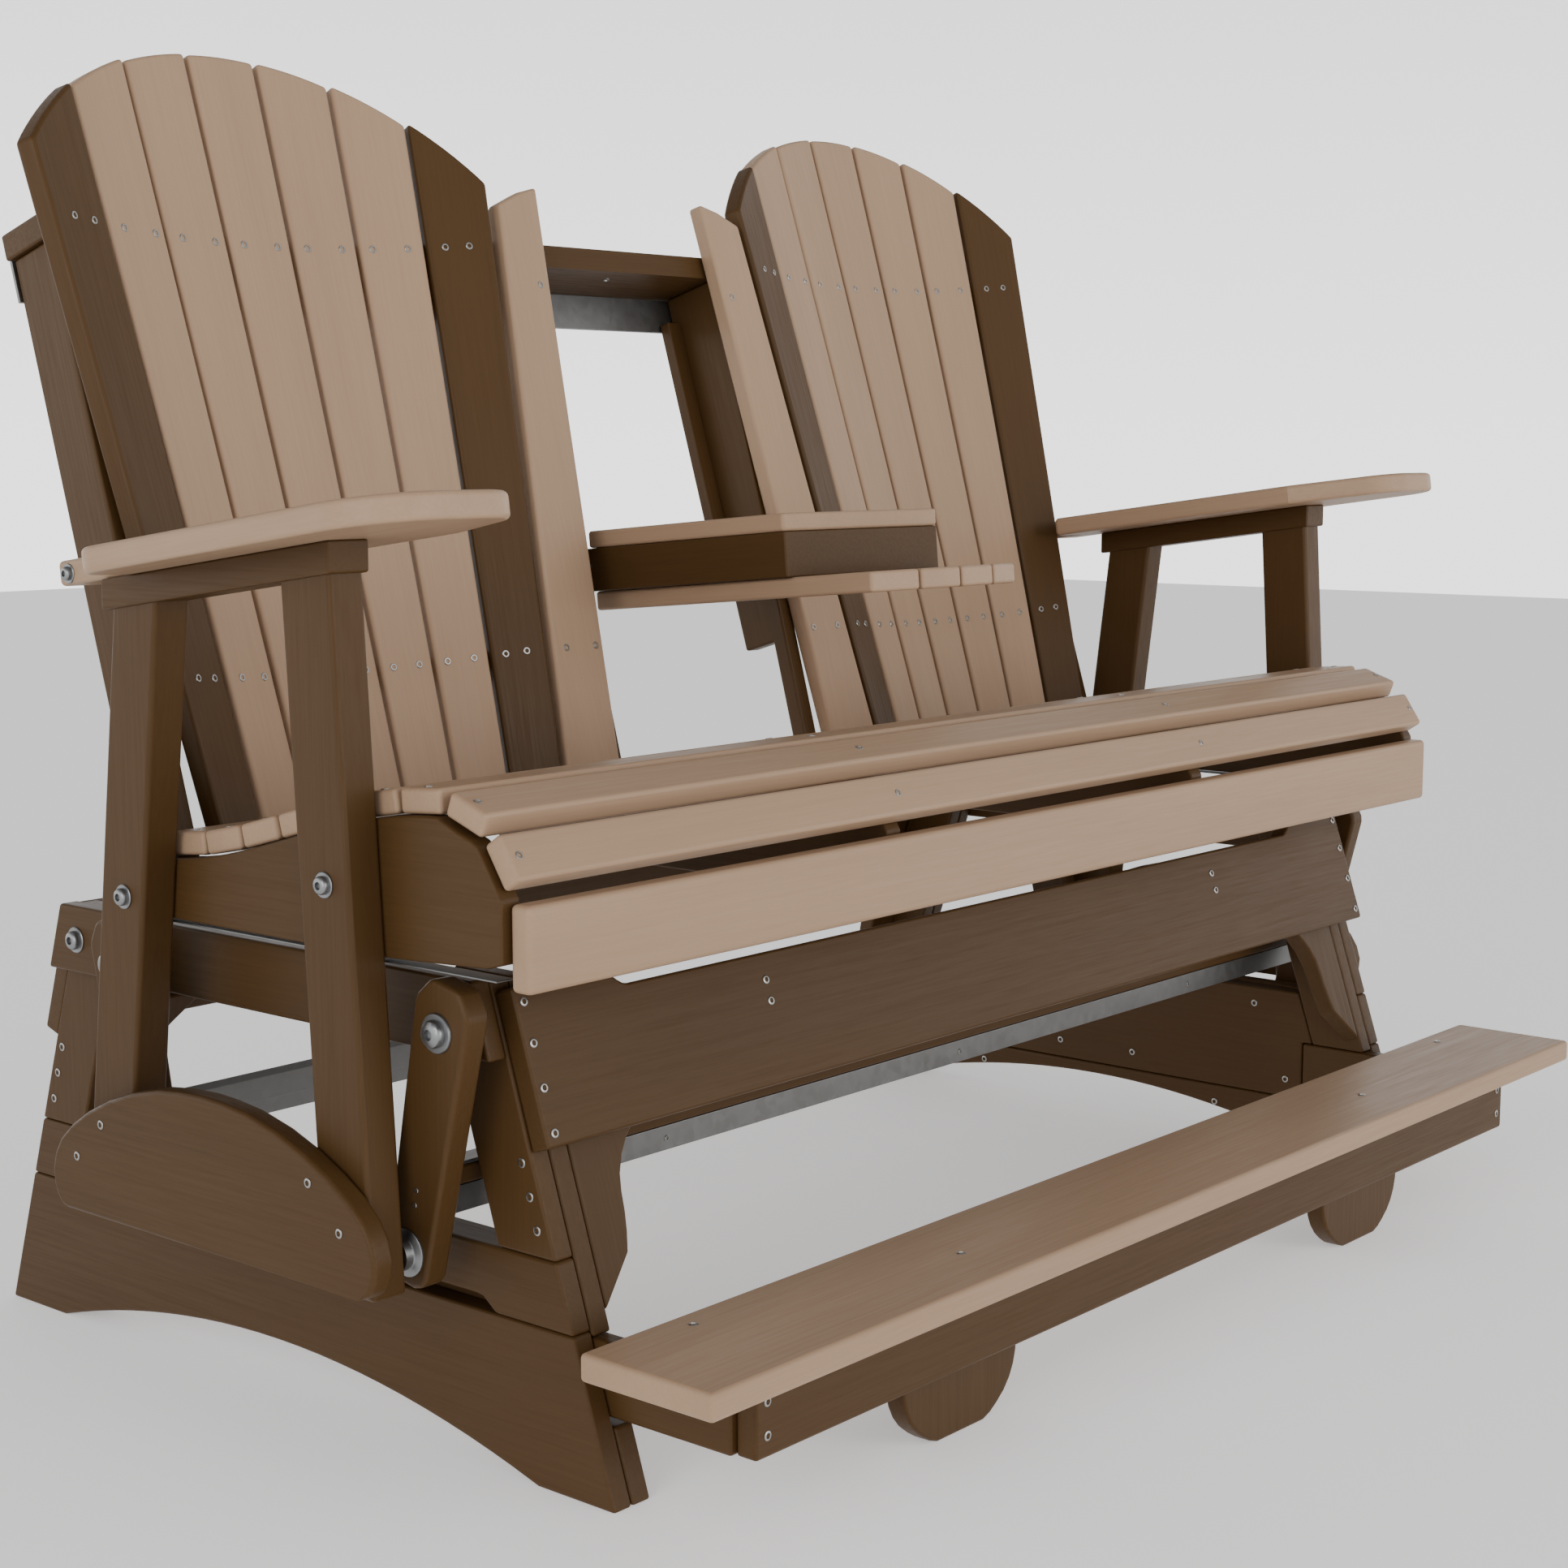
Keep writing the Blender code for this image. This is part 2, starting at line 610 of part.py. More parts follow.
def fan_slat_frame(index, sign):
    """Frame of one fan slat: its lower-row centre, the way across it and the way up it."""
    low_along, top_along = along_at(SLAT_LOW), along_at(BACK_TOP)
    ends = []
    for along in (low_along, top_along):
        angle = fan_angle(index, along)
        across = FAN_RADIUS * math.sin(angle)
        depth = -FAN_RADIUS * (1 - math.cos(angle))
        ends.append(back_point(across, along, depth))
    middle = fan_angle(index, (low_along + top_along) / 2)
    way_up = (ends[1] - ends[0]).normalized()
    way_across = Vector((math.cos(middle), 0.0, 0.0)) - BACKWARD * math.sin(middle)
    way_across = (way_across - way_up * way_across.dot(way_up)).normalized()
    origin = ends[0]
    if sign < 0:
        origin = Vector((-origin.x, origin.y, origin.z))
        way_across = Vector((-way_across.x, way_across.y, way_across.z))
        way_up = Vector((-way_up.x, way_up.y, way_up.z))
    return origin, way_across, way_up, top_along - low_along


def crown(across):
    """How far below the fan's crown its rounded top lies, measured up the slats."""
    return (TOP_RADIUS - math.sqrt(TOP_RADIUS ** 2 - across ** 2)) / UP.z


def fan_slat_outline(index, length):
    """Tapered slat whose top follows the fan's round crown."""
    low_half = (FAN_RADIUS * fan_angle(1, along_at(SLAT_LOW)) - SLAT_SPACE) / 2
    top_half = (FAN_RADIUS * fan_angle(1, along_at(BACK_TOP)) - SLAT_SPACE) / 2
    centre = FAN_RADIUS * math.sin(fan_angle(index, along_at(BACK_TOP)))
    spread = math.cos(fan_angle(index, along_at(BACK_TOP) / 2))
    top = []
    steps = 4
    for i in range(steps + 1):
        u = top_half - 2 * top_half * i / steps
        top.append((u, length - crown(centre + u * spread)))
    return [(-low_half, 0.0), (low_half, 0.0)] + top


def fan_slat(name, index, sign, kind, seat, collection=None, edge=0.004):
    origin, across, way_up, length = fan_slat_frame(index, sign)
    outline = fan_slat_outline(index, length)
    normal = across.cross(way_up)
    behind = 1 if normal.dot(BACKWARD) > 0 else -1
    place = tilted(origin + normal * behind * BOARD / 2, across, way_up)
    return board(name, outline, BOARD, place, kind, edge, seat, collection)


def rail_outline(half_angle, depth, steps=22):
    """Curved rail behind a fan, in the plane square to the slats: (across, depth)."""
    inner = []
    for i in range(steps + 1):
        angle = -half_angle + 2 * half_angle * i / steps
        joined = abs(angle) < 2.49 * LOW_STEP
        radius = FAN_RADIUS + BOARD + (-0.0010 if joined else 0.0020)
        inner.append((radius * math.sin(angle), radius * math.cos(angle) - FAN_RADIUS))
    end = inner[-1][0]
    return inner + [(end, depth), (-end, depth)]


def back_panels(seat):
    """Each fan: five tan slats joined by the curved lower rail, and a brown slat at either edge."""
    for side, sign in SIDES:
        panel = None
        for index in range(-2, 3):
            name = f"back_slats_{side}" if index == -2 else f"cut_slat_{side}_{index + 2}"
            where = None if index == -2 else CUTTERS
            piece = fan_slat(name, index, sign, "tan" if index == -2 else None, None, where)
            if index == -2:
                panel = piece
            else:
                union(panel, piece)
        place = tilted(back_point(0.0, 0.0), Vector((1.0, 0.0, 0.0)), BACKWARD)
        if sign < 0:
            place = Matrix.Translation((-2 * BACK_X, 0, 0)) @ place
        rail = helper(f"cut_lower_rail_{side}", rail_outline(0.300, POST_BACK_REAR), BOARD, place)
        union(panel, rail)
        keep_place_under(panel, seat)
        for index, edge_name in ((-3, "inner"), (3, "outer")):
            fan_slat(f"back_slat_{edge_name}_{side}", index, sign, "brown", seat)


def wing_slats(seat):
    """Flat slat between each fan and the console, on the front of the middle posts."""
    low, mid, top = along_at(0.5150), along_at(0.637), along_at(1.104)
    crest = along_at(1.123)
    for side, sign in SIDES:
        points = [(0.1735, low), (0.2470, low), (0.2360, mid), (0.1890, top), (0.1314, crest), (0.1620, mid)]
        outline = [(sign * u, v) for u, v in points]
        origin = Vector((0.0, BACK_Y, BACK_Z)) + BACKWARD * (WING_FACE + BOARD / 2)
        place = tilted(origin, Vector((1.0, 0.0, 0.0)), UP)
        board(f"wing_slat_{side}", outline, BOARD - 2 * GAP, place, "tan", 0.004, seat)


def back_posts(seat):
    """Posts on edge behind the fans: outer pair beside the seat boards, middle pair by the console."""
    low_outer = along_at(0.4700)
    step = along_at(0.6220)
    top = along_at(CAP_MID_Z) - CAP_THICK / 2 - GAP
    front, rear = OUTER_POST_FRONT, POST_BACK_REAR
    for side, sign in SIDES:
        place_outer = post_frame(sign * (POST_BACK_OUT - BOARD / 2))
        outer = [(front, low_outer), (rear, low_outer), (rear, top), (front, top)]
        board(f"back_post_outer_{side}", outer, BOARD, place_outer, "brown", EDGE, seat)
        face = INNER_POST_FRONT
        inner = [(face, low_outer), (face + 0.020, low_outer), (face + 0.020, step), (rear, step),
                 (rear, top), (face, top)]
        place_inner = post_frame(sign * (POST_BACK_IN + BOARD / 2))
        post = board(f"back_post_inner_{side}", inner, BOARD, place_inner, "brown", EDGE, seat)
        stop = rectangle(rear - 0.0005, rear + STOP_THICK, along_at(0.700), along_at(STOP_TOP))
        place_stop = post_frame(sign * (POST_BACK_IN + BOARD / 2 - STOP_REACH / 2))
        strip = helper(f"cut_stop_{side}", stop, BOARD + STOP_REACH, place_stop)
        union(post, strip)


def post_frame(x):
    """Outline (u, v) is (depth behind the slats, distance up them), thickness along X."""
    origin = Vector((x, BACK_Y, BACK_Z))
    return tilted(origin, BACKWARD, UP)


def cap_board(seat):
    """The cap lies square to the slats on the posts, hollowed to the back of each fan."""
    clear = BOARD + GAP + 0.0014
    front = WING_FACE + BOARD + GAP
    half_angle = 0.4200
    points = [(-CAP_HALF, CAP_REAR), (CAP_HALF, CAP_REAR)]
    hollow = []
    for i in range(13):
        angle = half_angle - 2 * half_angle * i / 12
        radius = FAN_RADIUS + clear
        hollow.append((radius * math.sin(angle), max(radius * math.cos(angle) - FAN_RADIUS, front)))
    right = [(BACK_X + u, v) for u, v in hollow if BACK_X + u <= CAP_HALF]
    edge = [(CAP_HALF, right[0][1])]
    right = edge + right + [(right[-1][0], front)]
    left = [(-u, v) for u, v in reversed(right)]
    origin = Vector((0.0, BACK_Y, BACK_Z)) + UP * along_at(CAP_MID_Z)
    place = tilted(origin, Vector((1.0, 0.0, 0.0)), BACKWARD)
    board("back_cap", points + right + left, CAP_THICK, place, "brown", EDGE, seat)
    strip_top = along_at(CAP_MID_Z) - CAP_THICK / 2 - GAP
    strip = rectangle(POST_BACK_REAR + GAP, POST_BACK_REAR + 0.0040, strip_top - 0.0400, strip_top)
    board("back_strip", strip, 2 * 0.7370, post_frame(0.0), "steel", 0.0, seat)


# ---------------------------------------------------------------- centre console
def tray_height(y, drop=0.0):
    """Height of the tray's top board at depth y, or 'drop' below it."""
    return 0.7944 - TRAY_SLOPE * (y + 0.1277) - drop


def tray_piece(name, outline, drop, thick, kind, parent, edge=EDGE):
    """A console layer cut in plan and laid on the tray's slope, its top 'drop' below the top."""
    along = Vector((0.0, 1.0, -TRAY_SLOPE)).normalized()
    scale = math.hypot(1.0, TRAY_SLOPE)
    origin = Vector((0.0, 0.0, tray_height(0.0))) - Vector((0.0, 0.0, (drop + thick / 2) * scale))
    place = tilted(origin, Vector((1.0, 0.0, 0.0)), along)
    return board(name, [(u, v * scale) for u, v in outline], thick, place, kind, edge, parent)


def console(hinge):
    """Tray board, the box under it, and the shelf that becomes the middle of the back when raised."""
    top = rectangle(-TRAY_HALF, TRAY_HALF, -0.1290, 0.1500)
    tray_piece("console_top", top, 0.0, 0.0185, "tan", hinge)
    box = rectangle(-TRAY_HALF + 0.001, TRAY_HALF - 0.001, -0.1310, HINGE_Y + 0.0080)
    body = tray_piece("console_box", box, 0.0185 + GAP, 0.0465, "brown", hinge)
    reach = POST_BACK_IN - 2 * GAP
    union(body, cylinder_x("cut_hinge_pin", -reach, reach, HINGE_Y, HINGE_Z, 0.0060, 16))
    shelf = [(-0.1100, 0.1400), (0.1100, 0.1400), (0.1230, -0.2230), (0.0620, -0.2400), (0.0, -0.2440),
             (-0.0620, -0.2400), (-0.1230, -0.2230)]
    tray_piece("console_shelf", shelf, 0.0650 + 2 * GAP, BOARD - GAP, "tan", hinge)


# ---------------------------------------------------------------- build
def centre_depth():
    """Set everything back so that the footrest's front and the rear feet are equally far from Y = 0."""
    back = -(TREAD_FRONT + FOOT_END) / 2
    for obj in list(PARTS.objects) + list(CUTTERS.objects):
        if obj.parent is None:
            obj.location.y += back


def build():
    side_frames()
    hanger_rails()
    cross_members()
    footrest()
    yokes()
    seat = joint_empty("seat_joint", (0.0, SWING_MID - LOW_REACH, LOW_PIVOT_Z))
    keep_place_under(seat, bpy.data.objects["pivot_front"])
    arm_posts(seat)
    half_moon_panels(seat)
    arm_supports(seat)
    armrests(seat)
    seat_boards(seat)
    seat_slats(seat)
    back_panels(seat)
    wing_slats(seat)
    back_posts(seat)
    cap_board(seat)
    hinge = joint_empty("console_joint", (0.0, HINGE_Y, HINGE_Z))
    keep_place_under(hinge, seat)
    console(hinge)
    centre_depth()


clear_scene()
PARTS = make_collection("glider_swing")
CUTTERS = make_collection("cutters")
CUTTERS.hide_render = True
build()
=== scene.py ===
# %% [markdown]
# # A two-seat glider swing in two-tone poly lumber
#
# The real object is an outdoor glider: two fan-backed seats share one bench, the bench hangs on four
# short links inside a heavy A-framed base, and a fixed footrest stands in front.  Nearly every piece
# is a sawn and routed board of recycled polyethylene, tan for what is touched and chestnut brown for
# what carries load, held by stainless screws, with a little galvanised steel where boards would sag.
#
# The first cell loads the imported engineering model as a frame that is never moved.  Every detailed
# board made below stands in for one of its plain solids and rides on the same moving body.

# %% Load the frame
import json
import math

import bmesh
import bpy
from mathutils import Matrix, Vector

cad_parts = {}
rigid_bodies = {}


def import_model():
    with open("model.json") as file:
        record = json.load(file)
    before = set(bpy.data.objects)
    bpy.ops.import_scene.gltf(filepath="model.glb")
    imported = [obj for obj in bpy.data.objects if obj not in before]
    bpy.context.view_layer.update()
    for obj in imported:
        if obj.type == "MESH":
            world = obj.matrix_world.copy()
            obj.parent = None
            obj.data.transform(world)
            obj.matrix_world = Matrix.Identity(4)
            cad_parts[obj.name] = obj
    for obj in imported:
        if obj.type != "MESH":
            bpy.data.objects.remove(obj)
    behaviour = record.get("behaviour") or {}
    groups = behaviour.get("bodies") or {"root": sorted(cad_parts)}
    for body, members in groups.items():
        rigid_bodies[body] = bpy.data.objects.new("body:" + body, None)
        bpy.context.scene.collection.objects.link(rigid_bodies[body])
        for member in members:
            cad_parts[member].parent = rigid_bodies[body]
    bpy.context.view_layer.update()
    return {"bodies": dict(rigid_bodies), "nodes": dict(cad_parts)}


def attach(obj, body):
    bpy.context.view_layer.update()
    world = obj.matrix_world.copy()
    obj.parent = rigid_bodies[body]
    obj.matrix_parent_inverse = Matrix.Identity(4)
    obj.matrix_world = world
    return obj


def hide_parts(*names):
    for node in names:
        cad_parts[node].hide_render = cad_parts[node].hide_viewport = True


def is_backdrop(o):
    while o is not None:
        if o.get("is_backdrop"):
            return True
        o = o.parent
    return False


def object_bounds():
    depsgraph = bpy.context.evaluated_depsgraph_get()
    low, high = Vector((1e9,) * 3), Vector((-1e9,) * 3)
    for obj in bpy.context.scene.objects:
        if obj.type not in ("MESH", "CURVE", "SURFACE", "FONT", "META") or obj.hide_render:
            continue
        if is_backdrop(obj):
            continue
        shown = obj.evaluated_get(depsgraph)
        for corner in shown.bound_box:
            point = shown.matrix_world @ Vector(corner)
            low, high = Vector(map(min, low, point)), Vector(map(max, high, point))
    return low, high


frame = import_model()
bodies = sorted(frame["bodies"])
print("bodies:", bodies, "nodes:", len(frame["nodes"]))

# %% [markdown]
# ## Colours and a way to build materials
#
# Colour pickers and paint charts give sRGB hex values, while a shader works in linear light, so one
# small function does the conversion.  A second one adds a node with its settings and its links in one
# call, which keeps each material readable as a list of steps.

# %% Colour and node helpers
def linear(code):
    """An sRGB hex colour as linear light."""
    parts = [int(code[i:i + 2], 16) / 255 for i in (1, 3, 5)]
    return [p / 12.92 if p <= 0.04045 else ((p + 0.055) / 1.055) ** 2.4 for p in parts] + [1.0]


def add_node(tree, kind, settings=None, links=None):
    """A node with its properties and input values set and its inputs linked."""
    node = tree.nodes.new(kind)
    for key, value in (settings or {}).items():
        if isinstance(key, str) and hasattr(node, key):
            setattr(node, key, value)
        else:
            node.inputs[key].default_value = value
    for key, source in (links or {}).items():
        tree.links.new(source, node.inputs[key])
    return node


def new_material(name, roughness, metallic=0.0):
    """A material with the constants on its own shader sockets; returns it, its tree and shader."""
    material = bpy.data.materials.new(name)
    material.use_nodes = True
    tree = material.node_tree
    shader = tree.nodes["Principled BSDF"]
    shader.inputs["Roughness"].default_value = roughness
    shader.inputs["Metallic"].default_value = metallic
    return material, tree, shader

# %% [markdown]
# ## Poly lumber
#
# Poly lumber is coloured high-density polyethylene, extruded through a die and embossed by a roller
# with a wood grain while it is warm.  The plastic is satin, not glossy: the grain is a relief of long
# shallow ridges that scatters the highlight, with a barely darker tone in the valleys.  Because the
# grain runs along each board, the pattern can't be fixed in world space: a leg, a slat and an armrest
# point three different ways.  Every board therefore carries its own coordinates, in metres, in an
# attribute called board_place, whose first axis runs along the board.
#
# The ridges are drawn about 3 mm apart and 120 mm long.  Real embossing is finer, near 1 mm; a second,
# weaker pattern at about 1.5 mm stands in for it.

# %% Poly lumber material
def poly_lumber(name, valley, ridge):
    """Embossed HDPE board: tone between valley and ridge along the grain, duller in the valleys."""
    material, tree, shader = new_material(name, 0.42)
    place = add_node(tree, "ShaderNodeAttribute", {"attribute_name": "board_place"}).outputs["Vector"]
    long_way = add_node(tree, "ShaderNodeMapping", {"Scale": (8.0, 330.0, 330.0)}, {"Vector": place})
    fine_way = add_node(tree, "ShaderNodeMapping", {"Scale": (26.0, 700.0, 700.0)}, {"Vector": place})
    broad_way = add_node(tree, "ShaderNodeMapping", {"Scale": (1.6, 16.0, 16.0)}, {"Vector": place})
    ridges = add_node(tree, "ShaderNodeTexNoise", {"Scale": 1.0, "Detail": 3.0, "Distortion": 0.5},
                      {"Vector": long_way.outputs[0]})
    fine = add_node(tree, "ShaderNodeTexNoise", {"Scale": 1.0, "Detail": 2.0},
                    {"Vector": fine_way.outputs[0]})
    broad = add_node(tree, "ShaderNodeTexNoise", {"Scale": 1.0, "Detail": 2.0},
                     {"Vector": broad_way.outputs[0]})
    grain = add_node(tree, "ShaderNodeMix", {"data_type": "FLOAT", 0: 0.35},
                     {2: ridges.outputs["Fac"], 3: fine.outputs["Fac"]})
    ramp = add_node(tree, "ShaderNodeValToRGB", None, {"Fac": grain.outputs[0]})
    ramp.color_ramp.elements[0].position = 0.34
    ramp.color_ramp.elements[0].color = linear(valley)
    ramp.color_ramp.elements[1].position = 0.66
    ramp.color_ramp.elements[1].color = linear(ridge)
    tone = add_node(tree, "ShaderNodeMapRange", {"From Min": 0.3, "From Max": 0.7, "To Min": 0.96,
                                                 "To Max": 1.04}, {"Value": broad.outputs["Fac"]})
    toned = add_node(tree, "ShaderNodeMix", {"data_type": "RGBA", "blend_type": "MULTIPLY", 0: 1.0},
                     {6: ramp.outputs["Color"], 7: tone.outputs[0]})
    tree.links.new(toned.outputs[2], shader.inputs["Base Color"])
    dull = add_node(tree, "ShaderNodeMapRange", {"From Min": 0.35, "From Max": 0.65, "To Min": 0.50,
                                                 "To Max": 0.36}, {"Value": grain.outputs[0]})
    tree.links.new(dull.outputs[0], shader.inputs["Roughness"])
    bump = add_node(tree, "ShaderNodeBump", {"Strength": 0.22, "Distance": 0.0004},
                    {"Height": grain.outputs[0]})
    tree.links.new(bump.outputs[0], shader.inputs["Normal"])
    shader.inputs["IOR"].default_value = 1.52
    shader.inputs["Specular IOR Level"].default_value = 0.16
    return material


TAN = poly_lumber("tan_hdpe_lumber", "#A0846B", "#A58970")
BROWN = poly_lumber("chestnut_hdpe_lumber", "#483219", "#4C361D")
print("poly lumber: ridges", round(1000 / 330, 1), "mm apart, fine ridges", round(1000 / 700, 1), "mm")

# %% [markdown]
# ## Metals
#
# The galvanised steel is hot-dipped: matt grey zinc with a faint spangle of crystals some 8 mm wide.
# The screws are passivated stainless steel, brighter and smoother.  The bolts, washers and link
# bearings are zinc-plated, a little darker and duller.  Only small turned shapes of both show, so a
# roughness that wanders a little is enough for them.

# %% Metal materials
def spangled_zinc():
    """Zinc crystals as cells under a soft cloud, in two close greys."""
    material, tree, shader = new_material("hot_dip_galvanised_steel", 0.42, 1.0)
    place = add_node(tree, "ShaderNodeTexCoord").outputs["Object"]
    cells = add_node(tree, "ShaderNodeTexVoronoi", {"Scale": 125.0}, {"Vector": place})
    cloud = add_node(tree, "ShaderNodeTexNoise", {"Scale": 14.0, "Detail": 3.0}, {"Vector": place})
    both = add_node(tree, "ShaderNodeMix", {"data_type": "FLOAT", 0: 0.6},
                    {2: cells.outputs["Color"], 3: cloud.outputs["Fac"]})
    ramp = add_node(tree, "ShaderNodeValToRGB", None, {"Fac": both.outputs[0]})
    ramp.color_ramp.elements[0].position = 0.25
    ramp.color_ramp.elements[0].color = linear("#7C7C7B")
    ramp.color_ramp.elements[1].position = 0.75
    ramp.color_ramp.elements[1].color = linear("#858584")
    tree.links.new(ramp.outputs["Color"], shader.inputs["Base Color"])
    dull = add_node(tree, "ShaderNodeMapRange", {"To Min": 0.36, "To Max": 0.52},
                    {"Value": both.outputs[0]})
    tree.links.new(dull.outputs[0], shader.inputs["Roughness"])
    return material


def bright_metal(name, code, roughness, spread):
    """A plain metal whose roughness wanders a little, as handled and tumbled hardware does."""
    material, tree, shader = new_material(name, roughness, 1.0)
    place = add_node(tree, "ShaderNodeTexCoord").outputs["Object"]
    cloud = add_node(tree, "ShaderNodeTexNoise", {"Scale": 300.0, "Detail": 2.0}, {"Vector": place})
    dull = add_node(tree, "ShaderNodeMapRange", {"To Min": roughness - spread, "To Max": roughness + spread},
                    {"Value": cloud.outputs["Fac"]})
    tree.links.new(dull.outputs[0], shader.inputs["Roughness"])
    shader.inputs["Base Color"].default_value = linear(code)
    return material


ZINC = spangled_zinc()
STAINLESS = bright_metal("passivated_stainless_steel", "#A3A29F", 0.34, 0.05)
PLATED = bright_metal("zinc_plated_bearing_steel", "#8E8F90", 0.38, 0.04)
print("metals:", ZINC.name, STAINLESS.name, PLATED.name)

# %% [markdown]
# ## One way to make a board
#
# A board is an outline, a thickness and a place.  The outline is drawn in the board's own plane, filled
# as one face, extruded by the thickness and given rounded edges, as a router with a small round-over bit
# leaves them.  Bevelling only the edges that turn by more than about 30 degrees leaves a curved outline
# smooth.  The board's own coordinates are stored before it is moved to its place, each board with its own
# offset so that no two show the same grain.
#
# All depths below are measured from the middle of the base.  The model's own origin is the middle of the
# whole footprint, footrest included, so every piece is set back by the same small distance.

# %% Board helpers
made = []
SET_BACK = 0.0835                 # from the middle of the base to the middle of the footprint
SHARP_TURN = 0.5                  # radians; an outline that turns by less stays smooth
GRAIN_STEP = 0.731                # each board's grain starts this much further along


def side_on(x):
    """Board plane for a piece seen from the side: outline is (depth, height)."""
    return Matrix(((0, 0, 1, x), (1, 0, 0, 0), (0, 1, 0, 0), (0, 0, 0, 1)))


def front_on(y):
    """Board plane for a piece seen from the front: outline is (width, height)."""
    return Matrix(((1, 0, 0, 0), (0, 0, -1, y), (0, 1, 0, 0), (0, 0, 0, 1)))


def flat_on(z):
    """Board plane for a piece seen from above: outline is (width, depth)."""
    return Matrix.Translation((0, 0, z))


def plane_at(origin, across, along):
    """Board plane through origin, outline (u, v) along the two directions."""
    across, along = across.normalized(), along.normalized()
    turn = Matrix((across, along, across.cross(along))).transposed().to_4x4()
    return Matrix.Translation(origin) @ turn


def block(u0, u1, v0, v1):
    return [(u0, v0), (u1, v0), (u1, v1), (u0, v1)]


def extruded(outline, thick, round_over, steps):
    """A bmesh of a board lying in its own plane, with every sharp edge rounded."""
    bm = bmesh.new()
    bm.faces.new([bm.verts.new((u, v, -thick / 2)) for u, v in outline])
    lifted = bmesh.ops.extrude_face_region(bm, geom=bm.faces[:])["geom"]
    raised = [part for part in lifted if isinstance(part, bmesh.types.BMVert)]
    bmesh.ops.translate(bm, verts=raised, vec=(0, 0, thick))
    bmesh.ops.recalc_face_normals(bm, faces=bm.faces)
    sharp = [edge for edge in bm.edges if edge.calc_face_angle(0.0) > SHARP_TURN]
    bmesh.ops.bevel(bm, geom=sharp, offset=round_over, offset_type="OFFSET", segments=steps,
                    profile=0.5, affect="EDGES", clamp_overlap=True, material=-1)
    return bm


def settle(name, bm, place, finish, body, grain="u", nodes=(), even=True):
    """Turns a bmesh into a finished piece: own coordinates, place, material and moving body.

    grain names the axis of the outline that the grain follows, or w for the thickness.
    """
    mesh = bpy.data.meshes.new(name)
    bm.to_mesh(mesh)
    bm.free()
    shift = GRAIN_STEP * len(made)
    local = mesh.attributes.new("board_place", "FLOAT_VECTOR", "POINT")
    for vertex, stored in zip(mesh.vertices, local.data):
        u, v, w = vertex.co
        along = {"u": (u, v, w), "v": (v, u, w), "w": (w, u, v)}[grain]
        stored.vector = Vector(along) + Vector((shift, 0.0, shift))
    mesh.transform(Matrix.Translation((0.0, SET_BACK, 0.0)) @ place)
    mesh.materials.append(finish)
    mesh.shade_smooth()
    mesh.set_sharp_from_angle(angle=math.radians(40))
    piece = bpy.data.objects.new(name, mesh)
    bpy.context.scene.collection.objects.link(piece)
    if even:
        shading = piece.modifiers.new("even shading", "WEIGHTED_NORMAL")
        shading.keep_sharp = True
    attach(piece, body)
    if nodes:
        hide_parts(*nodes)
    made.append(name)
    return piece


def board(name, outline, thick, place, finish, body, grain="u", nodes=(), round_over=0.003, steps=3):
    """A finished board that stands in for the given nodes of the engineering model."""
    return settle(name, extruded(outline, thick, round_over, steps), place, finish, body, grain, nodes)


BOARD = 0.0215
SIDES = (("left", -1), ("right", 1))
ENDS = (("front", -1), ("rear", 1))
print("a board is", BOARD * 1000, "mm thick, edges rounded to 3 mm")

# %% [markdown]
# ## Screws and bolts
#
# The boards are held by flat-headed stainless screws with a star recess, sunk flush.  From a step away
# each reads as a pale ring with a dark centre.  There are well over a hundred, so each has few faces: a
# disc with a raised, rounded rim and a small pocket, made by insetting and lowering a circle.  They are
# gathered by body while the boards are made and built together at the end.

# %% Screw and bolt helpers
screw_spots = {body: [] for body in bodies}
SCREW = 0.0042                    # radius of a screw's head
PIN_HOLE = 0.00005                # a ring of no radius is drawn this small, so that its face survives


def screw(body, where, facing, radius=SCREW):
    """Notes a screw to be built later: its place, the way its head faces and its radius."""
    screw_spots[body].append((Vector(where), Vector(facing).normalized(), radius))


def both_sides(body, where, facing, radius=SCREW):
    """A screw and its mirror twin across the middle plane."""
    x, y, z = where
    fx, fy, fz = facing
    screw(body, where, facing, radius)
    screw(body, (-x, y, z), (-fx, fy, fz), radius)


def pointing(where, facing):
    """Place of a round thing whose axis points along facing."""
    return Matrix.Translation(where) @ Vector(facing).to_track_quat("Z", "Y").to_matrix().to_4x4()


def turned(bm, where, facing, rings, sides=24):
    """Adds a turned shape: rings are (radius, height), each inset or raised from the one before."""
    place = pointing(where, facing)
    radius, height = rings[0]
    disc = bmesh.ops.create_circle(bm, cap_ends=True, radius=radius, segments=sides,
                                   matrix=place @ Matrix.Translation((0, 0, height)))
    lifted = bmesh.ops.extrude_face_region(bm, geom=[disc["verts"][0].link_faces[0]])["geom"]
    face = [part for part in lifted if isinstance(part, bmesh.types.BMFace)][0]
    axis = (place.to_3x3() @ Vector((0, 0, 1))).normalized()
    for step, (next_radius, next_height) in enumerate(rings[1:]):
        if step:
            face = bmesh.ops.extrude_discrete_faces(bm, faces=[face])["faces"][0]
        grow = max(next_radius, PIN_HOLE) / radius
        middle = face.calc_center_median()
        for vert in face.verts:
            vert.co = middle + (vert.co - middle) * grow + axis * (next_height - height)
        radius, height = max(next_radius, PIN_HOLE), next_height

# %% [markdown]
# ## The base: side frames
#
# Each side frame is an A shape laminated from two layers of board.  The outer layer is a rail with an
# arched underside, a filler board with a slot in its lower edge, and two legs that lean inward.  The
# inner layer overlaps those joints: a shallower arched rail, a wide panel, and legs that reach lower.
# The two layers share the sloping outline, so one function gives the slope and each board is cut to it.

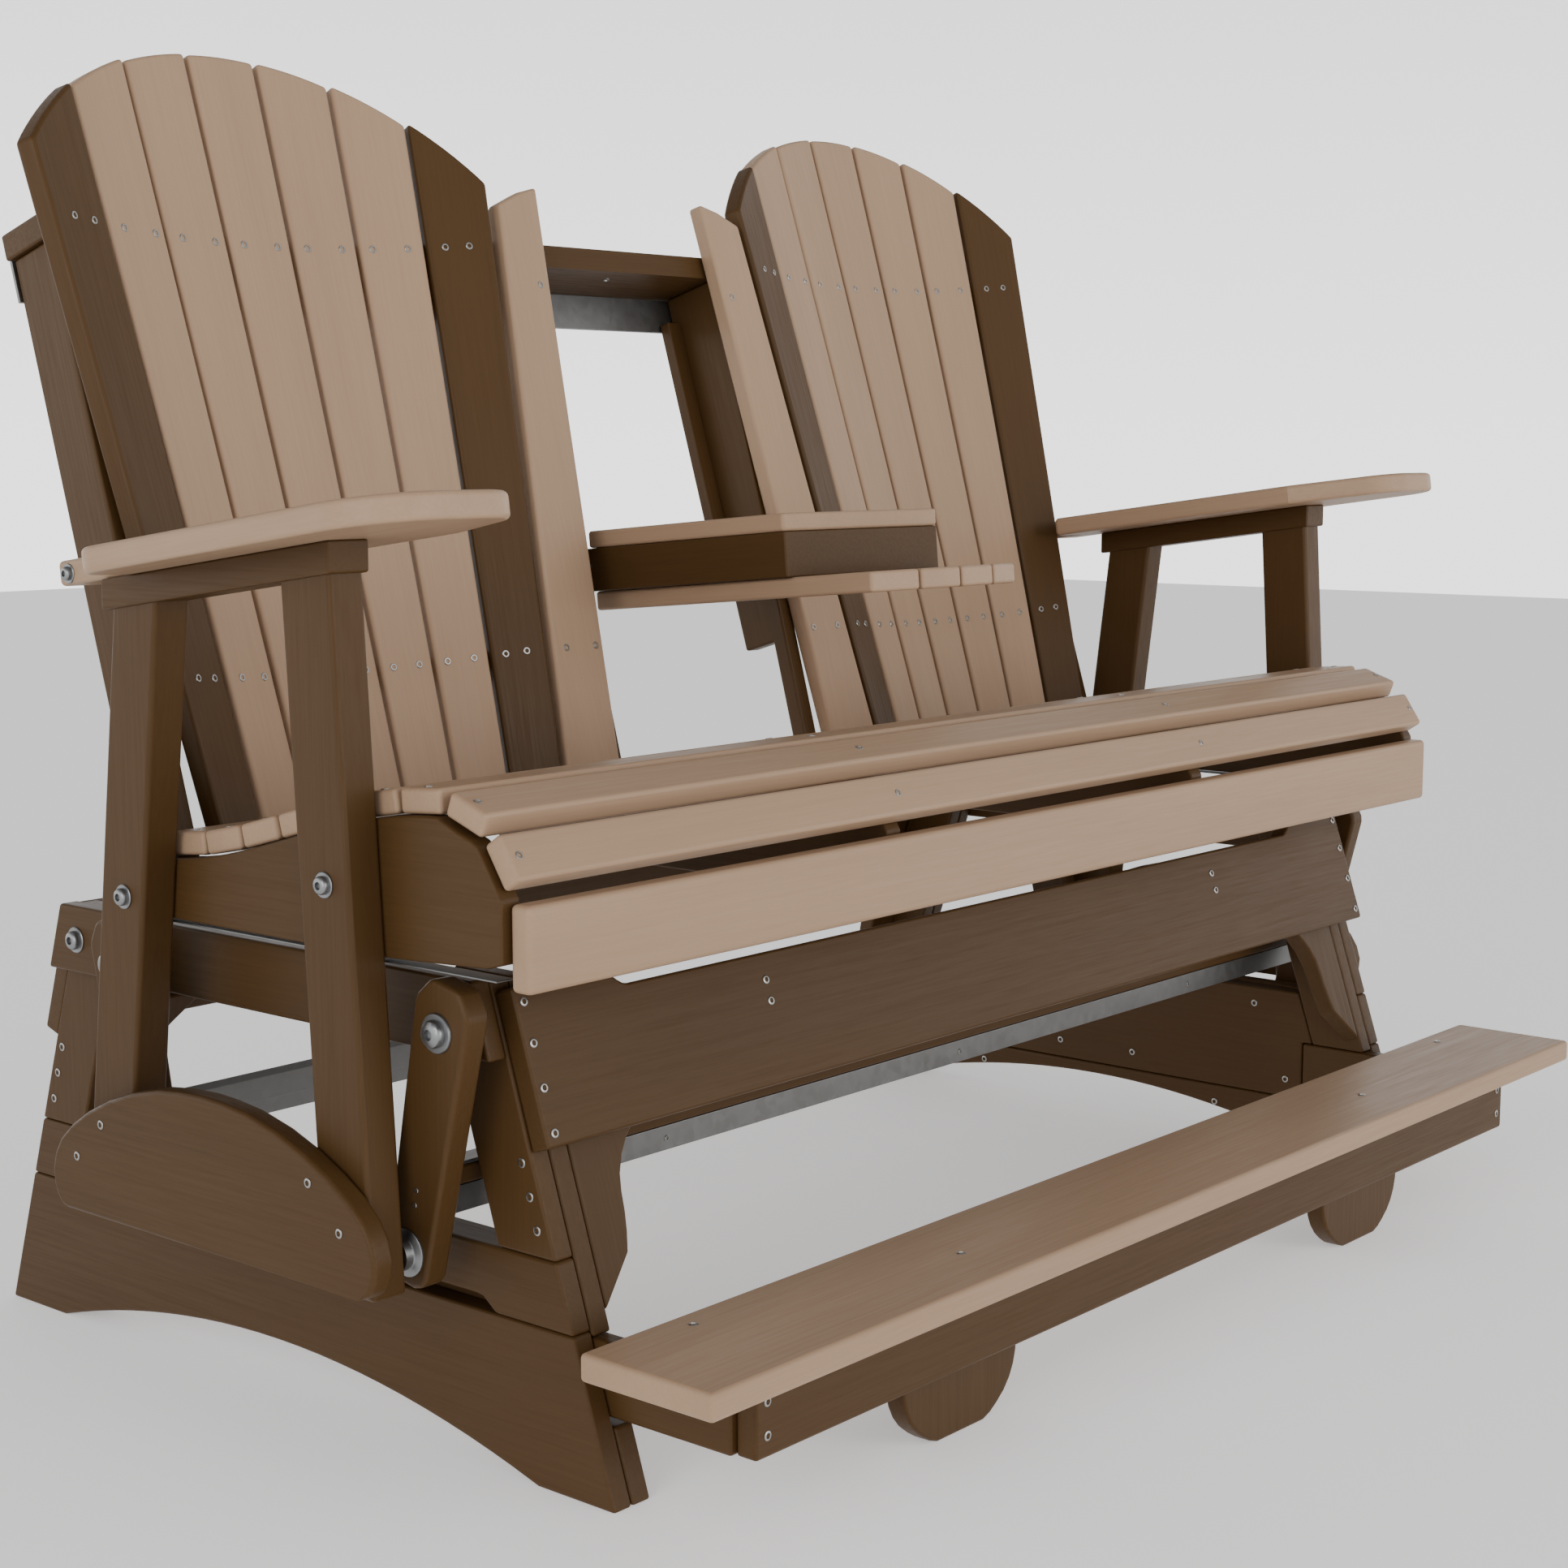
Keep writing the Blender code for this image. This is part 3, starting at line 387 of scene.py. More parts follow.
# %% Side frames
LEAN = 0.326                      # a leg leans this far inward per metre of height
FOOT = 0.427                      # half of the base's depth at the floor
OUTER_FACE, INNER_FACE = 0.6935, 0.6500
OUTER_X, INNER_X = OUTER_FACE - BOARD / 2, INNER_FACE + BOARD / 2
LEG_WIDE, LEG_TOP = 0.069, 0.424
FILLER_LOW, FILLER_TOP = 0.1390, 0.1980
INNER_RAIL_TOP, PANEL_TOP, SHORT_LEG_LOW = 0.0625, 0.1955, 0.1335


def slope(z):
    """Depth of the front edge of the base at height z."""
    return -FOOT + LEAN * z


def arch(top, rise, flat, steps=24):
    """Rail with an arched underside, its ends cut to the slope of the legs."""
    half = FOOT - flat
    under = [(-half + 2 * half * i / steps, rise * (1 - (2 * i / steps - 1) ** 2)) for i in range(steps + 1)]
    return [(-FOOT, 0.0)] + under + [(FOOT, 0.0), (-slope(top), top), (slope(top), top)]


def leg(low, top, end):
    """A leg between two heights, its long edges parallel to the slope."""
    points = [(slope(low), low), (slope(low) + LEG_WIDE, low), (slope(top) + LEG_WIDE, top),
              (slope(top), top)]
    return [(-end * y, z) for y, z in points]


def slotted_filler(low, top):
    """Filler board whose lower edge is relieved behind a soft S, leaving a long slot."""
    front = [(slope(low), low), (-0.2924, low), (-0.2880, low + 0.0012), (-0.2810, low + 0.0065),
             (-0.2740, low + 0.0118), (-0.2660, low + 0.0130)]
    rear = [(-y, z) for y, z in reversed(front)]
    return front + rear + [(-slope(top), top), (slope(top), top)]


HAIR = 0.0003                     # the hairline left between two boards that meet
for side, sign in SIDES:
    outer, inner = side_on(sign * OUTER_X), side_on(sign * INNER_X)
    node = f"side_frame_{side}"
    board(f"frame_rail_{side}", arch(FILLER_LOW - HAIR, 0.050, 0.0895), BOARD, outer, BROWN, "base", "u",
          [node])
    board(f"frame_filler_{side}", slotted_filler(FILLER_LOW, FILLER_TOP - HAIR), BOARD, outer, BROWN, "base")
    board(f"frame_inner_rail_{side}", arch(INNER_RAIL_TOP - HAIR, 0.048, 0.0895), BOARD, inner, BROWN, "base")
    beside = LEG_WIDE + 0.0005
    panel = [(-0.3000, INNER_RAIL_TOP), (-slope(INNER_RAIL_TOP) - beside, INNER_RAIL_TOP),
             (-slope(PANEL_TOP) - beside, PANEL_TOP), (slope(PANEL_TOP) + beside, PANEL_TOP),
             (slope(SHORT_LEG_LOW + HAIR) + beside, SHORT_LEG_LOW + HAIR), (-0.3000, SHORT_LEG_LOW + HAIR)]
    board(f"frame_inner_panel_{side}", panel, BOARD, inner, BROWN, "base")
    for end_name, end in ENDS:
        board(f"frame_leg_{end_name}_{side}", leg(FILLER_TOP, LEG_TOP, end), BOARD, outer, BROWN, "base", "v")
        low = SHORT_LEG_LOW if end < 0 else INNER_RAIL_TOP
        board(f"frame_inner_leg_{end_name}_{side}", leg(low, LEG_TOP, end), BOARD, inner, BROWN, "base", "v")
for y, z in ((0.3245, 0.2755), (0.3336, 0.2483), (0.3416, 0.2210)):
    for end in (-1, 1):
        both_sides("base", (OUTER_FACE, end * y, z), (1, 0, 0))
for y, z in ((-0.233, 0.1745), (-0.0557, 0.0854), (-0.2786, 0.0849), (-0.179, 0.0403)):
    for end in (-1, 1):
        both_sides("base", (INNER_FACE, -end * y, z), (-1, 0, 0))
print("side frames:", sum("frame_" in n for n in made), "boards")

# %% [markdown]
# ## Hanger rails and cross boards
#
# A hanger rail is bolted outside each A frame and carries the upper pivots of the links.  The cross
# boards lie on the sloping front and rear edges of the legs; the top edge of each is lowered between two
# eased shoulders so that it clears the seat.  Behind every end sits a knee brace, flush with the legs and
# hollowed on its free edge, which keeps the base from racking sideways.

# %% Hanger rails, cross boards and knee braces
RAIL_HALF, RAIL_LOW, RAIL_TOP = 0.310, 0.361, 0.426
RAIL_TOP_HALF = RAIL_HALF - LEAN * (RAIL_TOP - RAIL_LOW)
rail_outline = [(-RAIL_HALF, RAIL_LOW), (RAIL_HALF, RAIL_LOW), (RAIL_TOP_HALF, RAIL_TOP),
                (-RAIL_TOP_HALF, RAIL_TOP)]
for side, sign in SIDES:
    board(f"hanger_{side}", rail_outline, BOARD - 0.0006, side_on(sign * 0.70455), BROWN, "base", "u",
          [f"hanger_rail_{side}"])

STRETCH = math.hypot(1.0, LEAN)   # a height measured along the sloping legs is this much longer


def on_slope(offset, end):
    """Plane along the legs' sloping edge, offset outward."""
    outward = Vector((0.0, end, LEAN)).normalized()
    origin = Vector((0.0, end * FOOT, 0.0)) + outward * offset
    return plane_at(origin, Vector((1.0, 0.0, 0.0)), Vector((0.0, -end * LEAN, 1.0)))


def eased(u, v, du, dv, steps=6):
    """A soft S from (u, v) to (u + du, v + dv)."""
    points = []
    for i in range(steps + 1):
        t = i / steps
        points.append((u + du * t, v + dv * t * t * (3 - 2 * t)))
    return points


CROSS_HALF, CROSS_GAP = 0.6915, 0.0004
low, top, dip = 0.2848 * STRETCH, 0.414 * STRETCH, 0.398 * STRETCH
shoulder = eased(0.589, top, -0.030, dip - top)
cross_line = [(-CROSS_HALF, low), (CROSS_HALF, low), (CROSS_HALF, top)] + shoulder
cross_line += [(-u, v) for u, v in reversed(shoulder)] + [(-CROSS_HALF, top)]
knee = [(0.6496, 0.317), (0.6496, 0.150), (0.6097, 0.188), (0.6050, 0.2040), (0.6020, 0.2200),
        (0.6005, 0.2360), (0.5975, 0.2500), (0.5905, 0.2640), (0.5810, 0.2760), (0.5695, 0.2870),
        (0.5540, 0.3000), (0.5350, 0.3170)]
for end_name, end in ENDS:
    board(f"cross_{end_name}", cross_line, BOARD, on_slope(CROSS_GAP + BOARD / 2, end), BROWN, "base", "u",
          [f"cross_board_{end_name}"])
    for side, sign in SIDES:
        outline = [(sign * u, v * STRETCH) for u, v in knee]
        board(f"knee_brace_{end_name}_{side}", outline, BOARD, on_slope(-BOARD / 2, end), BROWN, "base", "v")
    facing = (0.0, end, LEAN)
    for x, z in ((0.6815, 0.4082), (0.6815, 0.3749), (0.6815, 0.3390), (0.6815, 0.3028),
                 (0.3865, 0.381), (0.3865, 0.3624)):
        y = end * (FOOT - LEAN * z + (CROSS_GAP + BOARD) * STRETCH)
        both_sides("base", (x, y, z), facing)
print("cross boards", 2 * CROSS_HALF, "m wide, lowered", round((top - dip) / STRETCH * 1000), "mm")

# %% [markdown]
# ## Footrest
#
# A wide tan tread lies on a brown front board and on two arms that slot into the side frames.  Two small
# feet with rounded toes stand behind the front board.  The tread's edges are eased more than those of the
# other boards of the base, because bare heels rest on it.

# %% Footrest
TREAD_HALF, TREAD_THICK, TREAD_UNDER = 0.7595, 0.0240, 0.1373
TREAD_TOP, FRONT_FACE = TREAD_UNDER + TREAD_THICK, -0.5555
board("footrest_tread_board", block(-TREAD_HALF, TREAD_HALF, -0.5940, -0.4540), TREAD_THICK,
      flat_on(TREAD_UNDER + TREAD_THICK / 2), TAN, "base", "u", ["footrest_tread"], 0.0045, 4)
board("footrest_front", block(-0.6655, 0.6655, 0.069, 0.1369), BOARD, front_on(FRONT_FACE + BOARD / 2), BROWN,
      "base", "u", ["footrest_board"])
toe = [(-0.084, 0.1330), (-0.084, 0.0640), (-0.0828, 0.0520), (-0.0795, 0.0400), (-0.0735, 0.0285),
       (-0.0650, 0.0185), (-0.0540, 0.0100), (-0.0435, 0.0035), (-0.0335, 0.0)]
for side, sign in SIDES:
    outline = toe + [(-u, v) for u, v in reversed(toe)]
    outline = [(sign * 0.365 + u, v) for u, v in outline]
    board(f"footrest_foot_{side}", outline, BOARD, front_on(FRONT_FACE + 1.5 * BOARD + HAIR), BROWN, "base",
          "v")
    board(f"footrest_bracket_{side}", block(-0.5337, -0.3010, 0.0695, 0.1328), 0.0205,
          side_on(sign * 0.66095), BROWN, "base", "u", [f"footrest_arm_{side}"])
    screw("base", (sign * 0.653, -0.478, TREAD_TOP), (0, 0, 1))
    screw("base", (sign * 0.365, -0.532, TREAD_TOP), (0, 0, 1))
    for z in (0.1154, 0.0874):
        screw("base", (sign * 0.652, FRONT_FACE, z), (0, -1, 0))
print("footrest tread", 2000 * TREAD_HALF, "x 140 mm")

# %% [markdown]
# ## Swing links
#
# Four tapered links hang the bench from the base.  At the top a large bolt with a washer turns in the
# hanger rail; at the bottom a flanged bearing sits between the link and the seat post.  A bar runs through
# the side frames from the left link to the right one and makes each pair swing as one: a batten held in
# folded galvanised steel, whose lip hangs below it.

# %% Links, pivots and crossbars
TOP_PIVOT, LOW_PIVOT = (0.221, 0.389), (0.179, 0.197)    # (depth from the swing's middle, height)
SWING_MID = -0.066                # the swing's middle lies a little in front of the base's
LINK_X, LINK_THICK = 0.7375, 0.0250
LINK_FACE = LINK_X + LINK_THICK / 2


def tapered_link(end):
    """A long hexagon round the two pivots, wider at the top, with clipped corners."""
    top = Vector((end * TOP_PIVOT[0], TOP_PIVOT[1]))
    low = Vector((end * LOW_PIVOT[0], LOW_PIVOT[1]))
    along = (top - low).normalized()
    across = Vector((along.y, -along.x))
    marks = [(top, 0.0325, 0.018), (top, 0.0305, 0.025), (top, 0.0200, 0.0385), (top, 0.0150, 0.0420),
             (top, -0.0150, 0.0420), (top, -0.0200, 0.0385), (top, -0.0305, 0.025), (top, -0.0325, 0.018),
             (low, -0.0255, -0.016), (low, -0.0215, -0.0245), (low, -0.0120, -0.0290), (low, 0.0120, -0.0290),
             (low, 0.0215, -0.0245), (low, 0.0255, -0.016)]
    spots = [centre + across * wide + along * rise for centre, wide, rise in marks]
    return [(SWING_MID + spot.x, spot.y) for spot in spots]


hardware = {body: bmesh.new() for body in bodies}
for end_name, end in ENDS:
    body = f"yoke_{end_name}"
    top_y, low_y = SWING_MID + end * TOP_PIVOT[0], SWING_MID + end * LOW_PIVOT[0]
    for side, sign in SIDES:
        node = f"link_{end_name}_{side}"
        board(f"swing_{node}", tapered_link(end), LINK_THICK, side_on(sign * LINK_X), BROWN, body, "v",
              [node], 0.0045, 4)
        face = (sign * LINK_FACE, top_y, TOP_PIVOT[1])
        turned(hardware[body], face, (sign, 0, 0), [(0.0170, -0.001), (0.0170, 0.0016), (0.0162, 0.0026),
               (0.0118, 0.0026), (0.0118, 0.0060), (0.0108, 0.0085), (0.0080, 0.0100), (0.0046, 0.0104),
               (0.0042, 0.0070), (0.0, 0.0070)], 32)
        turned(hardware[body], (sign * 0.7160, top_y, TOP_PIVOT[1]), (sign, 0, 0),
               [(0.0150, 0.0), (0.0150, 0.0100)], 24)
        turned(hardware[body], (sign * 0.7495, low_y, LOW_PIVOT[1]), (sign, 0, 0),
               [(0.0205, 0.0), (0.0205, 0.0020), (0.0198, 0.0027), (0.0150, 0.0046), (0.0140, 0.0056),
                (0.0140, 0.0134), (0.0, 0.0134)], 32)
        for y, z in ((-0.1918, 0.2522), (-0.1895, 0.2393)):
            screw(body, (sign * LINK_FACE, SWING_MID - end * y, z), (sign, 0, 0), 0.0026)

BAR_FACE, BAR_DEEP, BAR_LONG, SHEET = 0.1935, 0.0225, 1.4490, 0.0030
for end_name, end in ENDS:
    body = f"yoke_{end_name}"

    def deep(amount):
        """Depth of a point this far behind the bar's outward face."""
        return SWING_MID + end * (BAR_FACE - amount)

    y_low, y_high = sorted((deep(-0.0010), deep(BAR_DEEP - SHEET - 0.0004)))
    board(f"bar_batten_{end_name}", block(y_low, y_high, 0.2469, 0.2631), BAR_LONG, side_on(0.0), BROWN, body,
          "w", [f"crossbar_batten_{end_name}"], 0.0025)
    fold = [(0.0, 0.2665), (0.0, 0.2635), (BAR_DEEP - SHEET, 0.2635), (BAR_DEEP - SHEET, 0.2465),
            (0.0, 0.2465), (0.0, 0.2235), (SHEET, 0.2235), (SHEET, 0.2435), (BAR_DEEP, 0.2435),
            (BAR_DEEP, 0.2665)]
    board(f"bar_steel_{end_name}", [(deep(u), v) for u, v in fold], BAR_LONG, side_on(0.0), ZINC, body, "w",
          [f"crossbar_steel_{end_name}"], 0.0006, 2)
    for x in (0.449, 0.0, -0.449):
        screw(body, (x, deep(0.0), 0.2345), (0, end, 0), 0.0030)
print("links:", round(1000 * (Vector(TOP_PIVOT) - Vector(LOW_PIVOT)).length), "mm between pivots")

# %% [markdown]
# ## Seat side frames
#
# Under each armrest two stout posts splay down to the lower pivots, joined there by a half-moon panel
# outside and, at the top, by a board on edge that follows the slope of the armrest.  Carriage bolts go
# through the posts into the seat boards.  The armrest itself is a paddle that rises to the front: wide and
# rounded where the hand lies, narrower beside the back, where a short tail is bolted to the outer back post.
# Its straight inner edge meets the rounded front at a crisp corner, so the edges there are marked sharp.

# %% Posts, half-moon panels and armrests
ARM_SLOPE = 0.1339
BEARER_FRONT, BEARER_REAR = -0.2287, 0.0770
ARM_THICK, ARM_LIFT = 0.0226, 0.0023
POST_X, POST_THICK, POST_HALF, POST_FOOT = 0.7816, 0.0360, 0.03125, 0.168
POST_FACE = POST_X + POST_THICK / 2


def under_arm(y):
    """Height of the seat frame's top at depth y; the armrest lies ARM_LIFT above it."""
    return 0.7857 - ARM_SLOPE * (y - BEARER_FRONT)


def post_middle(end, z):
    """Depth of a post's middle line at height z: the front post leans a little, the rear one more."""
    return -0.2270 + 0.0608 * (z - 0.1970) if end < 0 else 0.1005 - 0.1170 * (z - 0.1970)


half_moon = [(-0.2015, 0.178), (0.2015, 0.178), (0.2100, 0.1810), (0.2165, 0.1885), (0.2205, 0.1995),
             (0.2215, 0.2120), (0.2170, 0.2275), (0.2075, 0.2425), (0.1895, 0.2580), (0.1650, 0.2735),
             (0.1345, 0.2880), (0.0995, 0.3005), (0.0615, 0.3095), (0.0305, 0.3130), (0.0, 0.3145)]
half_moon += [(-u, v) for u, v in reversed(half_moon[:-1]) if u > 0]


def arc(middle, radius, first, last, steps=10):
    """Points on a circle from one compass angle to another, 0 pointing to the front, 90 outward."""
    turns = [math.radians(first + (last - first) * i / steps) for i in range(steps + 1)]
    return [(middle[0] + radius * math.sin(a), middle[1] - radius * math.cos(a)) for a in turns]


CREASE = -0.2475                  # depth of the corner where the inner edge meets the rounded front
paddle = [(0.6790, 0.0930), (0.6775, CREASE)]
paddle += arc((0.7575, -0.3160), 0.050, -69, 0) + arc((0.8020, -0.2980), 0.068, 0, 90)
paddle += [(0.8680, -0.1500)] + arc((0.8280, -0.0040), 0.040, 90, 170)
paddle += [(0.7995, 0.0420)] + arc((0.7935, 0.1400), 0.006, 90, 180, 4)
paddle += arc((0.7500, 0.1400), 0.006, 180, 270, 4) + [(0.7440, 0.0980), (0.6870, 0.0980)]
arm_way = Vector((0.0, 1.0, -ARM_SLOPE)).normalized()
ARM_STRETCH = math.hypot(1.0, ARM_SLOPE)
for side, sign in SIDES:
    for end_name, end in ENDS:
        line = [(post_middle(end, POST_FOOT) + way * POST_HALF, POST_FOOT) for way in (-1, 1)]
        for way in (1, -1):
            y = post_middle(end, 0.759) + way * POST_HALF
            line.append((y, under_arm(y) - 0.0190))
        board(f"post_{end_name}_{side}", line, POST_THICK, side_on(sign * POST_X), BROWN, "seat", "v",
              [f"arm_post_{end_name}_{side}"], 0.0045, 4)
    corners = block(BEARER_FRONT, BEARER_REAR, -0.0245, ARM_LIFT)
    line = [(y, under_arm(y) + rise) for y, rise in corners]
    board(f"arm_bearer_{side}", line, 0.0425, side_on(sign * 0.7818), BROWN, "seat", "u",
          [f"arm_support_{side}"], 0.0022)
    line = [(SWING_MID + u, v) for u, v in half_moon]
    board(f"half_moon_{side}", line, 0.0220, side_on(sign * 0.8110), BROWN, "seat", "u",
          [f"half_moon_panel_{side}"], 0.0045, 4)
    line = [(sign * u, v * ARM_STRETCH) for u, v in paddle]
    middle = Vector((0.0, 0.0, under_arm(0.0) + ARM_LIFT + ARM_THICK * ARM_STRETCH / 2))
    piece = board(f"arm_paddle_{side}", line, ARM_THICK, plane_at(middle, Vector((1, 0, 0)), arm_way), TAN,
                  "seat", "v", [f"armrest_{side}"], 0.0050, 4)
    points = piece.data.vertices
    for edge in piece.data.edges:
        ends = [points[i].co for i in edge.vertices]
        if all(abs(p.y - SET_BACK - CREASE) < 0.0035 and abs(p.x) < 0.6840 for p in ends):
            edge.use_edge_sharp = True

for y, z in ((0.078, 0.265), (0.1157, 0.230), (-0.207, 0.265), (-0.245, 0.230)):
    both_sides("seat", (0.8220, y, z), (1, 0, 0))


def carriage_bolt(body, where, facing, size=1.0):
    """Washer and domed head with a hexagon socket."""
    rings = [(0.0110, -0.001), (0.0110, 0.0012), (0.0104, 0.0018), (0.0078, 0.0018), (0.0078, 0.0045),
             (0.0070, 0.0062), (0.0055, 0.0070), (0.0034, 0.0072), (0.0031, 0.0045), (0.0, 0.0045)]
    turned(hardware[body], where, facing, [(r * size, h * size) for r, h in rings], 20)


for side, sign in SIDES:
    carriage_bolt("seat", (sign * POST_FACE, -0.2100, 0.5090), (sign, 0, 0), 1.0)
    carriage_bolt("seat", (sign * POST_FACE, 0.0630, 0.4690), (sign, 0, 0), 1.0)
    carriage_bolt("seat", (sign * 0.7993, 0.1290, 0.7505), (sign, 0, 0), 0.80)
    for end in (-1, 1):
        carriage_bolt("base", (sign * 0.7148, end * 0.2625, 0.3934), (sign, 0, 0), 1.15)
print("armrests rise", round(math.degrees(math.atan(ARM_SLOPE)), 1), "degrees to the front")

# %% [markdown]
# ## Seat
#
# Four contoured boards on edge carry the seat.  Seven slats lie on their S-shaped top edge, an eighth and a
# ninth roll over the front, and an upright apron closes it.  Each slat is 48 mm wide with a 3 mm gap, laid
# as a chord of the contour, so the deck looks softly curved although every slat is flat.

# %% Seat boards, slats and apron
DECK_REAR, PITCH, GAP = 0.0510, 0.0510, 0.0030
SLAT_HALF, RIB_X = 0.7575, 0.2654


def deck(y):
    """Underside of the deck slats: low at the back, rising to the front."""
    t = (DECK_REAR - y) / (7 * PITCH)
    return 0.5020 + 0.0680 * (3 * t * t - 2 * t ** 3) ** 0.92


contour = [(-0.3780, 0.4580), (-0.3600, 0.4530), (-0.2310, 0.4464), (0.1410, 0.4464), (0.1410, 0.5000)]
CLEAR = 0.0012                    # what the contour stays below the slats
for i in range(22):
    y = DECK_REAR - 7 * PITCH * i / 21
    contour.append((y, deck(y) - CLEAR))
contour += [(-0.3300, 0.5585), (-0.3450, 0.5535), (-0.3520, 0.5490), (-0.3640, 0.5310), (-0.3780, 0.5090)]
for side, sign in SIDES:
    board(f"seat_side_{side}", contour, 0.0212, side_on(sign * 0.7526), BROWN, "seat", "u",
          [f"seat_board_outer_{side}"], 0.0025)
    board(f"seat_rib_{side}", contour, BOARD, side_on(sign * RIB_X), BROWN, "seat", "u",
          [f"seat_board_inner_{side}"], 0.0025)
    strip = block(-0.3700, 0.1300, 0.4430, 0.4446)
    board(f"seat_stiffener_{side}", strip, 0.0190, side_on(sign * 0.7522), ZINC, "seat", "u", (), 0.0006, 2)


def seat_slat(name, front, rear, node):
    """A screwed board across the seat; its underside runs from front to rear, each (depth, height)."""
    low, high = Vector(front), Vector(rear)
    lift = Vector((-(high - low).y, (high - low).x)).normalized() * BOARD
    line = [tuple(low), tuple(high), tuple(high + lift), tuple(low + lift)]
    board(name, line, 2 * SLAT_HALF, side_on(0.0), TAN, "seat", "w", [node], 0.004, 4)
    middle, up = (low + high) / 2 + lift, lift.normalized()
    for x in (0.7470, RIB_X):
        both_sides("seat", (x, middle.x, middle.y), (0, up.x, up.y), 0.0036)


for i in range(7):
    rear = DECK_REAR - i * PITCH - GAP / 2
    front = rear - PITCH + GAP
    seat_slat(f"deck_slat_{i + 1}", (front, deck(front)), (rear, deck(rear)), f"seat_slat_{i + 1}")
seat_slat("roll_slat_8", (-0.3500, 0.5550), (-0.3085, 0.5700), "seat_slat_8")
seat_slat("roll_slat_9", (-0.3760, 0.5150), (-0.3530, 0.5500), "seat_slat_9")
board("apron", block(-0.4006, -0.3790, 0.4353, 0.5064), 1.5100, side_on(0.0), TAN, "seat", "w",
      ["seat_apron"], 0.0050, 4)
print("seat deck", 2000 * SLAT_HALF, "mm wide and", round(7000 * PITCH), "mm deep, front",
      round(1000 * deck(DECK_REAR - 7 * PITCH)), "mm up")

# %% [markdown]
# ## The fan backs
#
# Each back is seven tapered slats set round a large cylinder, so the fan wraps a little round the sitter.
# The slats spread upward because the angle between neighbours grows from the lower screw row to the upper
# one, and their tops are cut to one round crown.  A slat's place is found from two points on its middle
# line; its width at either end is the spacing there less a gap.  The outer slats are brown, the rest tan.
#
# Depths are measured square to the slats, behind the front face of the middle slat.

# %% Fan slats
RECLINE = math.radians(16.8)
UP = Vector((0.0, math.sin(RECLINE), math.cos(RECLINE)))
BEHIND = Vector((0.0, math.cos(RECLINE), -math.sin(RECLINE)))
FAN_X, FAN_RADIUS = 0.480, 0.745
LOW_ROW = Vector((0.0, 0.1262, 0.6434))          # the lower screw row, on the middle slat's face
ROWS_APART, LOW_STEP, TOP_STEP = 0.4335, 0.0902, 0.1064
SLAT_FOOT, CROWN_TOP, CROWN_RADIUS, SPACE = 0.509, 1.2465, 0.410, 0.0047


def up_to(z):
    """Distance up the slats from the lower screw row to height z."""
    return (z - LOW_ROW.z) / UP.z


def step_at(along):
    """Angle between neighbouring slats, seen from the fan's axis, at a distance up them."""
    return LOW_STEP + (TOP_STEP - LOW_STEP) * along / ROWS_APART


def fan_spot(index, along):
    """A point on the face of slat index of the right-hand fan."""
    angle = index * step_at(along)
    out = Vector((math.sin(angle), 0.0, 0.0)) + BEHIND * math.cos(angle)
    centre = LOW_ROW + Vector((FAN_X, 0.0, 0.0)) + UP * along - BEHIND * FAN_RADIUS
    return centre + out * FAN_RADIUS


def crown_drop(across):
    """How far the crown has fallen, measured along the slats, at a distance from the fan's middle."""
    return (CROWN_RADIUS - math.sqrt(CROWN_RADIUS ** 2 - across ** 2)) / UP.z


FOOT_AT, TOP_AT = up_to(SLAT_FOOT), up_to(CROWN_TOP)
FAN_SCREWS = ((0.0, 0.475, 0.370, 0.982), (ROWS_APART, 0.535, 0.358, 0.981))
for side, sign in SIDES:
    for index in range(-3, 4):
        foot, head = fan_spot(index, FOOT_AT), fan_spot(index, TOP_AT)
        turn = index * step_at((FOOT_AT + TOP_AT) / 2)
        across = Vector((math.cos(turn), 0.0, 0.0)) - BEHIND * math.sin(turn)
        way = (head - foot).normalized()
        across = (across - way * across.dot(way)).normalized()
        low_half = (FAN_RADIUS * step_at(FOOT_AT) - SPACE) / 2
        top_half = (FAN_RADIUS * step_at(TOP_AT) - SPACE) / 2
        middle = FAN_RADIUS * math.sin(index * step_at(TOP_AT))
        long = TOP_AT - FOOT_AT
        line = [(-low_half, 0.0), (low_half, 0.0)]
        for i in range(9):
            u = top_half * (1 - i / 4)
            line.append((u, long - crown_drop(middle + u * math.cos(turn))))
        normal = across.cross(way)
        back = normal if normal.dot(BEHIND) > 0 else -normal
        place = plane_at(foot + back * BOARD / 2, across, way)
        if sign < 0:
            line = [(-u, v) for u, v in reversed(line)]
            flip = Matrix.Scale(-1, 4, (1, 0, 0))
            place = flip @ place @ flip
        edge_slat = abs(index) == 3
        where = "inner" if index == -3 else "outer"
        nodes = [f"back_slat_{where}_{side}"] if edge_slat else ()
        if index == -2:           # one solid of the engineering model stands for the five tan slats
            nodes = [f"back_slats_{side}"]
        board(f"fan_slat_{side}_{index + 4}", line, BOARD, place, BROWN if edge_slat else TAN, "seat", "v",
              nodes, 0.0042, 4)
        for along, share, edge_share, draw in FAN_SCREWS:
            for half in (-0.5, 0.5):
                spot = fan_spot((index + half * (edge_share if edge_slat else share)) * draw, along)
                spot = spot - back * (spot - foot).dot(back)
                screw("seat", (sign * spot.x, spot.y, spot.z), (-sign * back.x, -back.y, -back.z), 0.0040)
print("fans:", sum("fan_slat" in n for n in made), "slats")

# %% [markdown]
# ## Rails, posts and cap behind the backs
#
# Behind the lower screw row a curved rail ties the slats of each fan.  At the upper row the slats meet a
# long cap board, hollowed to the back of both fans, that lies square to the slats on four posts.  A flat
# steel strip runs behind the posts under the cap.
#
# Two wing slats frame the gap between the fans.  They stand about two degrees steeper than the fans, so the
# middle posts behind them taper to suit, and each post has a narrow strip on its inner face that the raised
# console rests against.

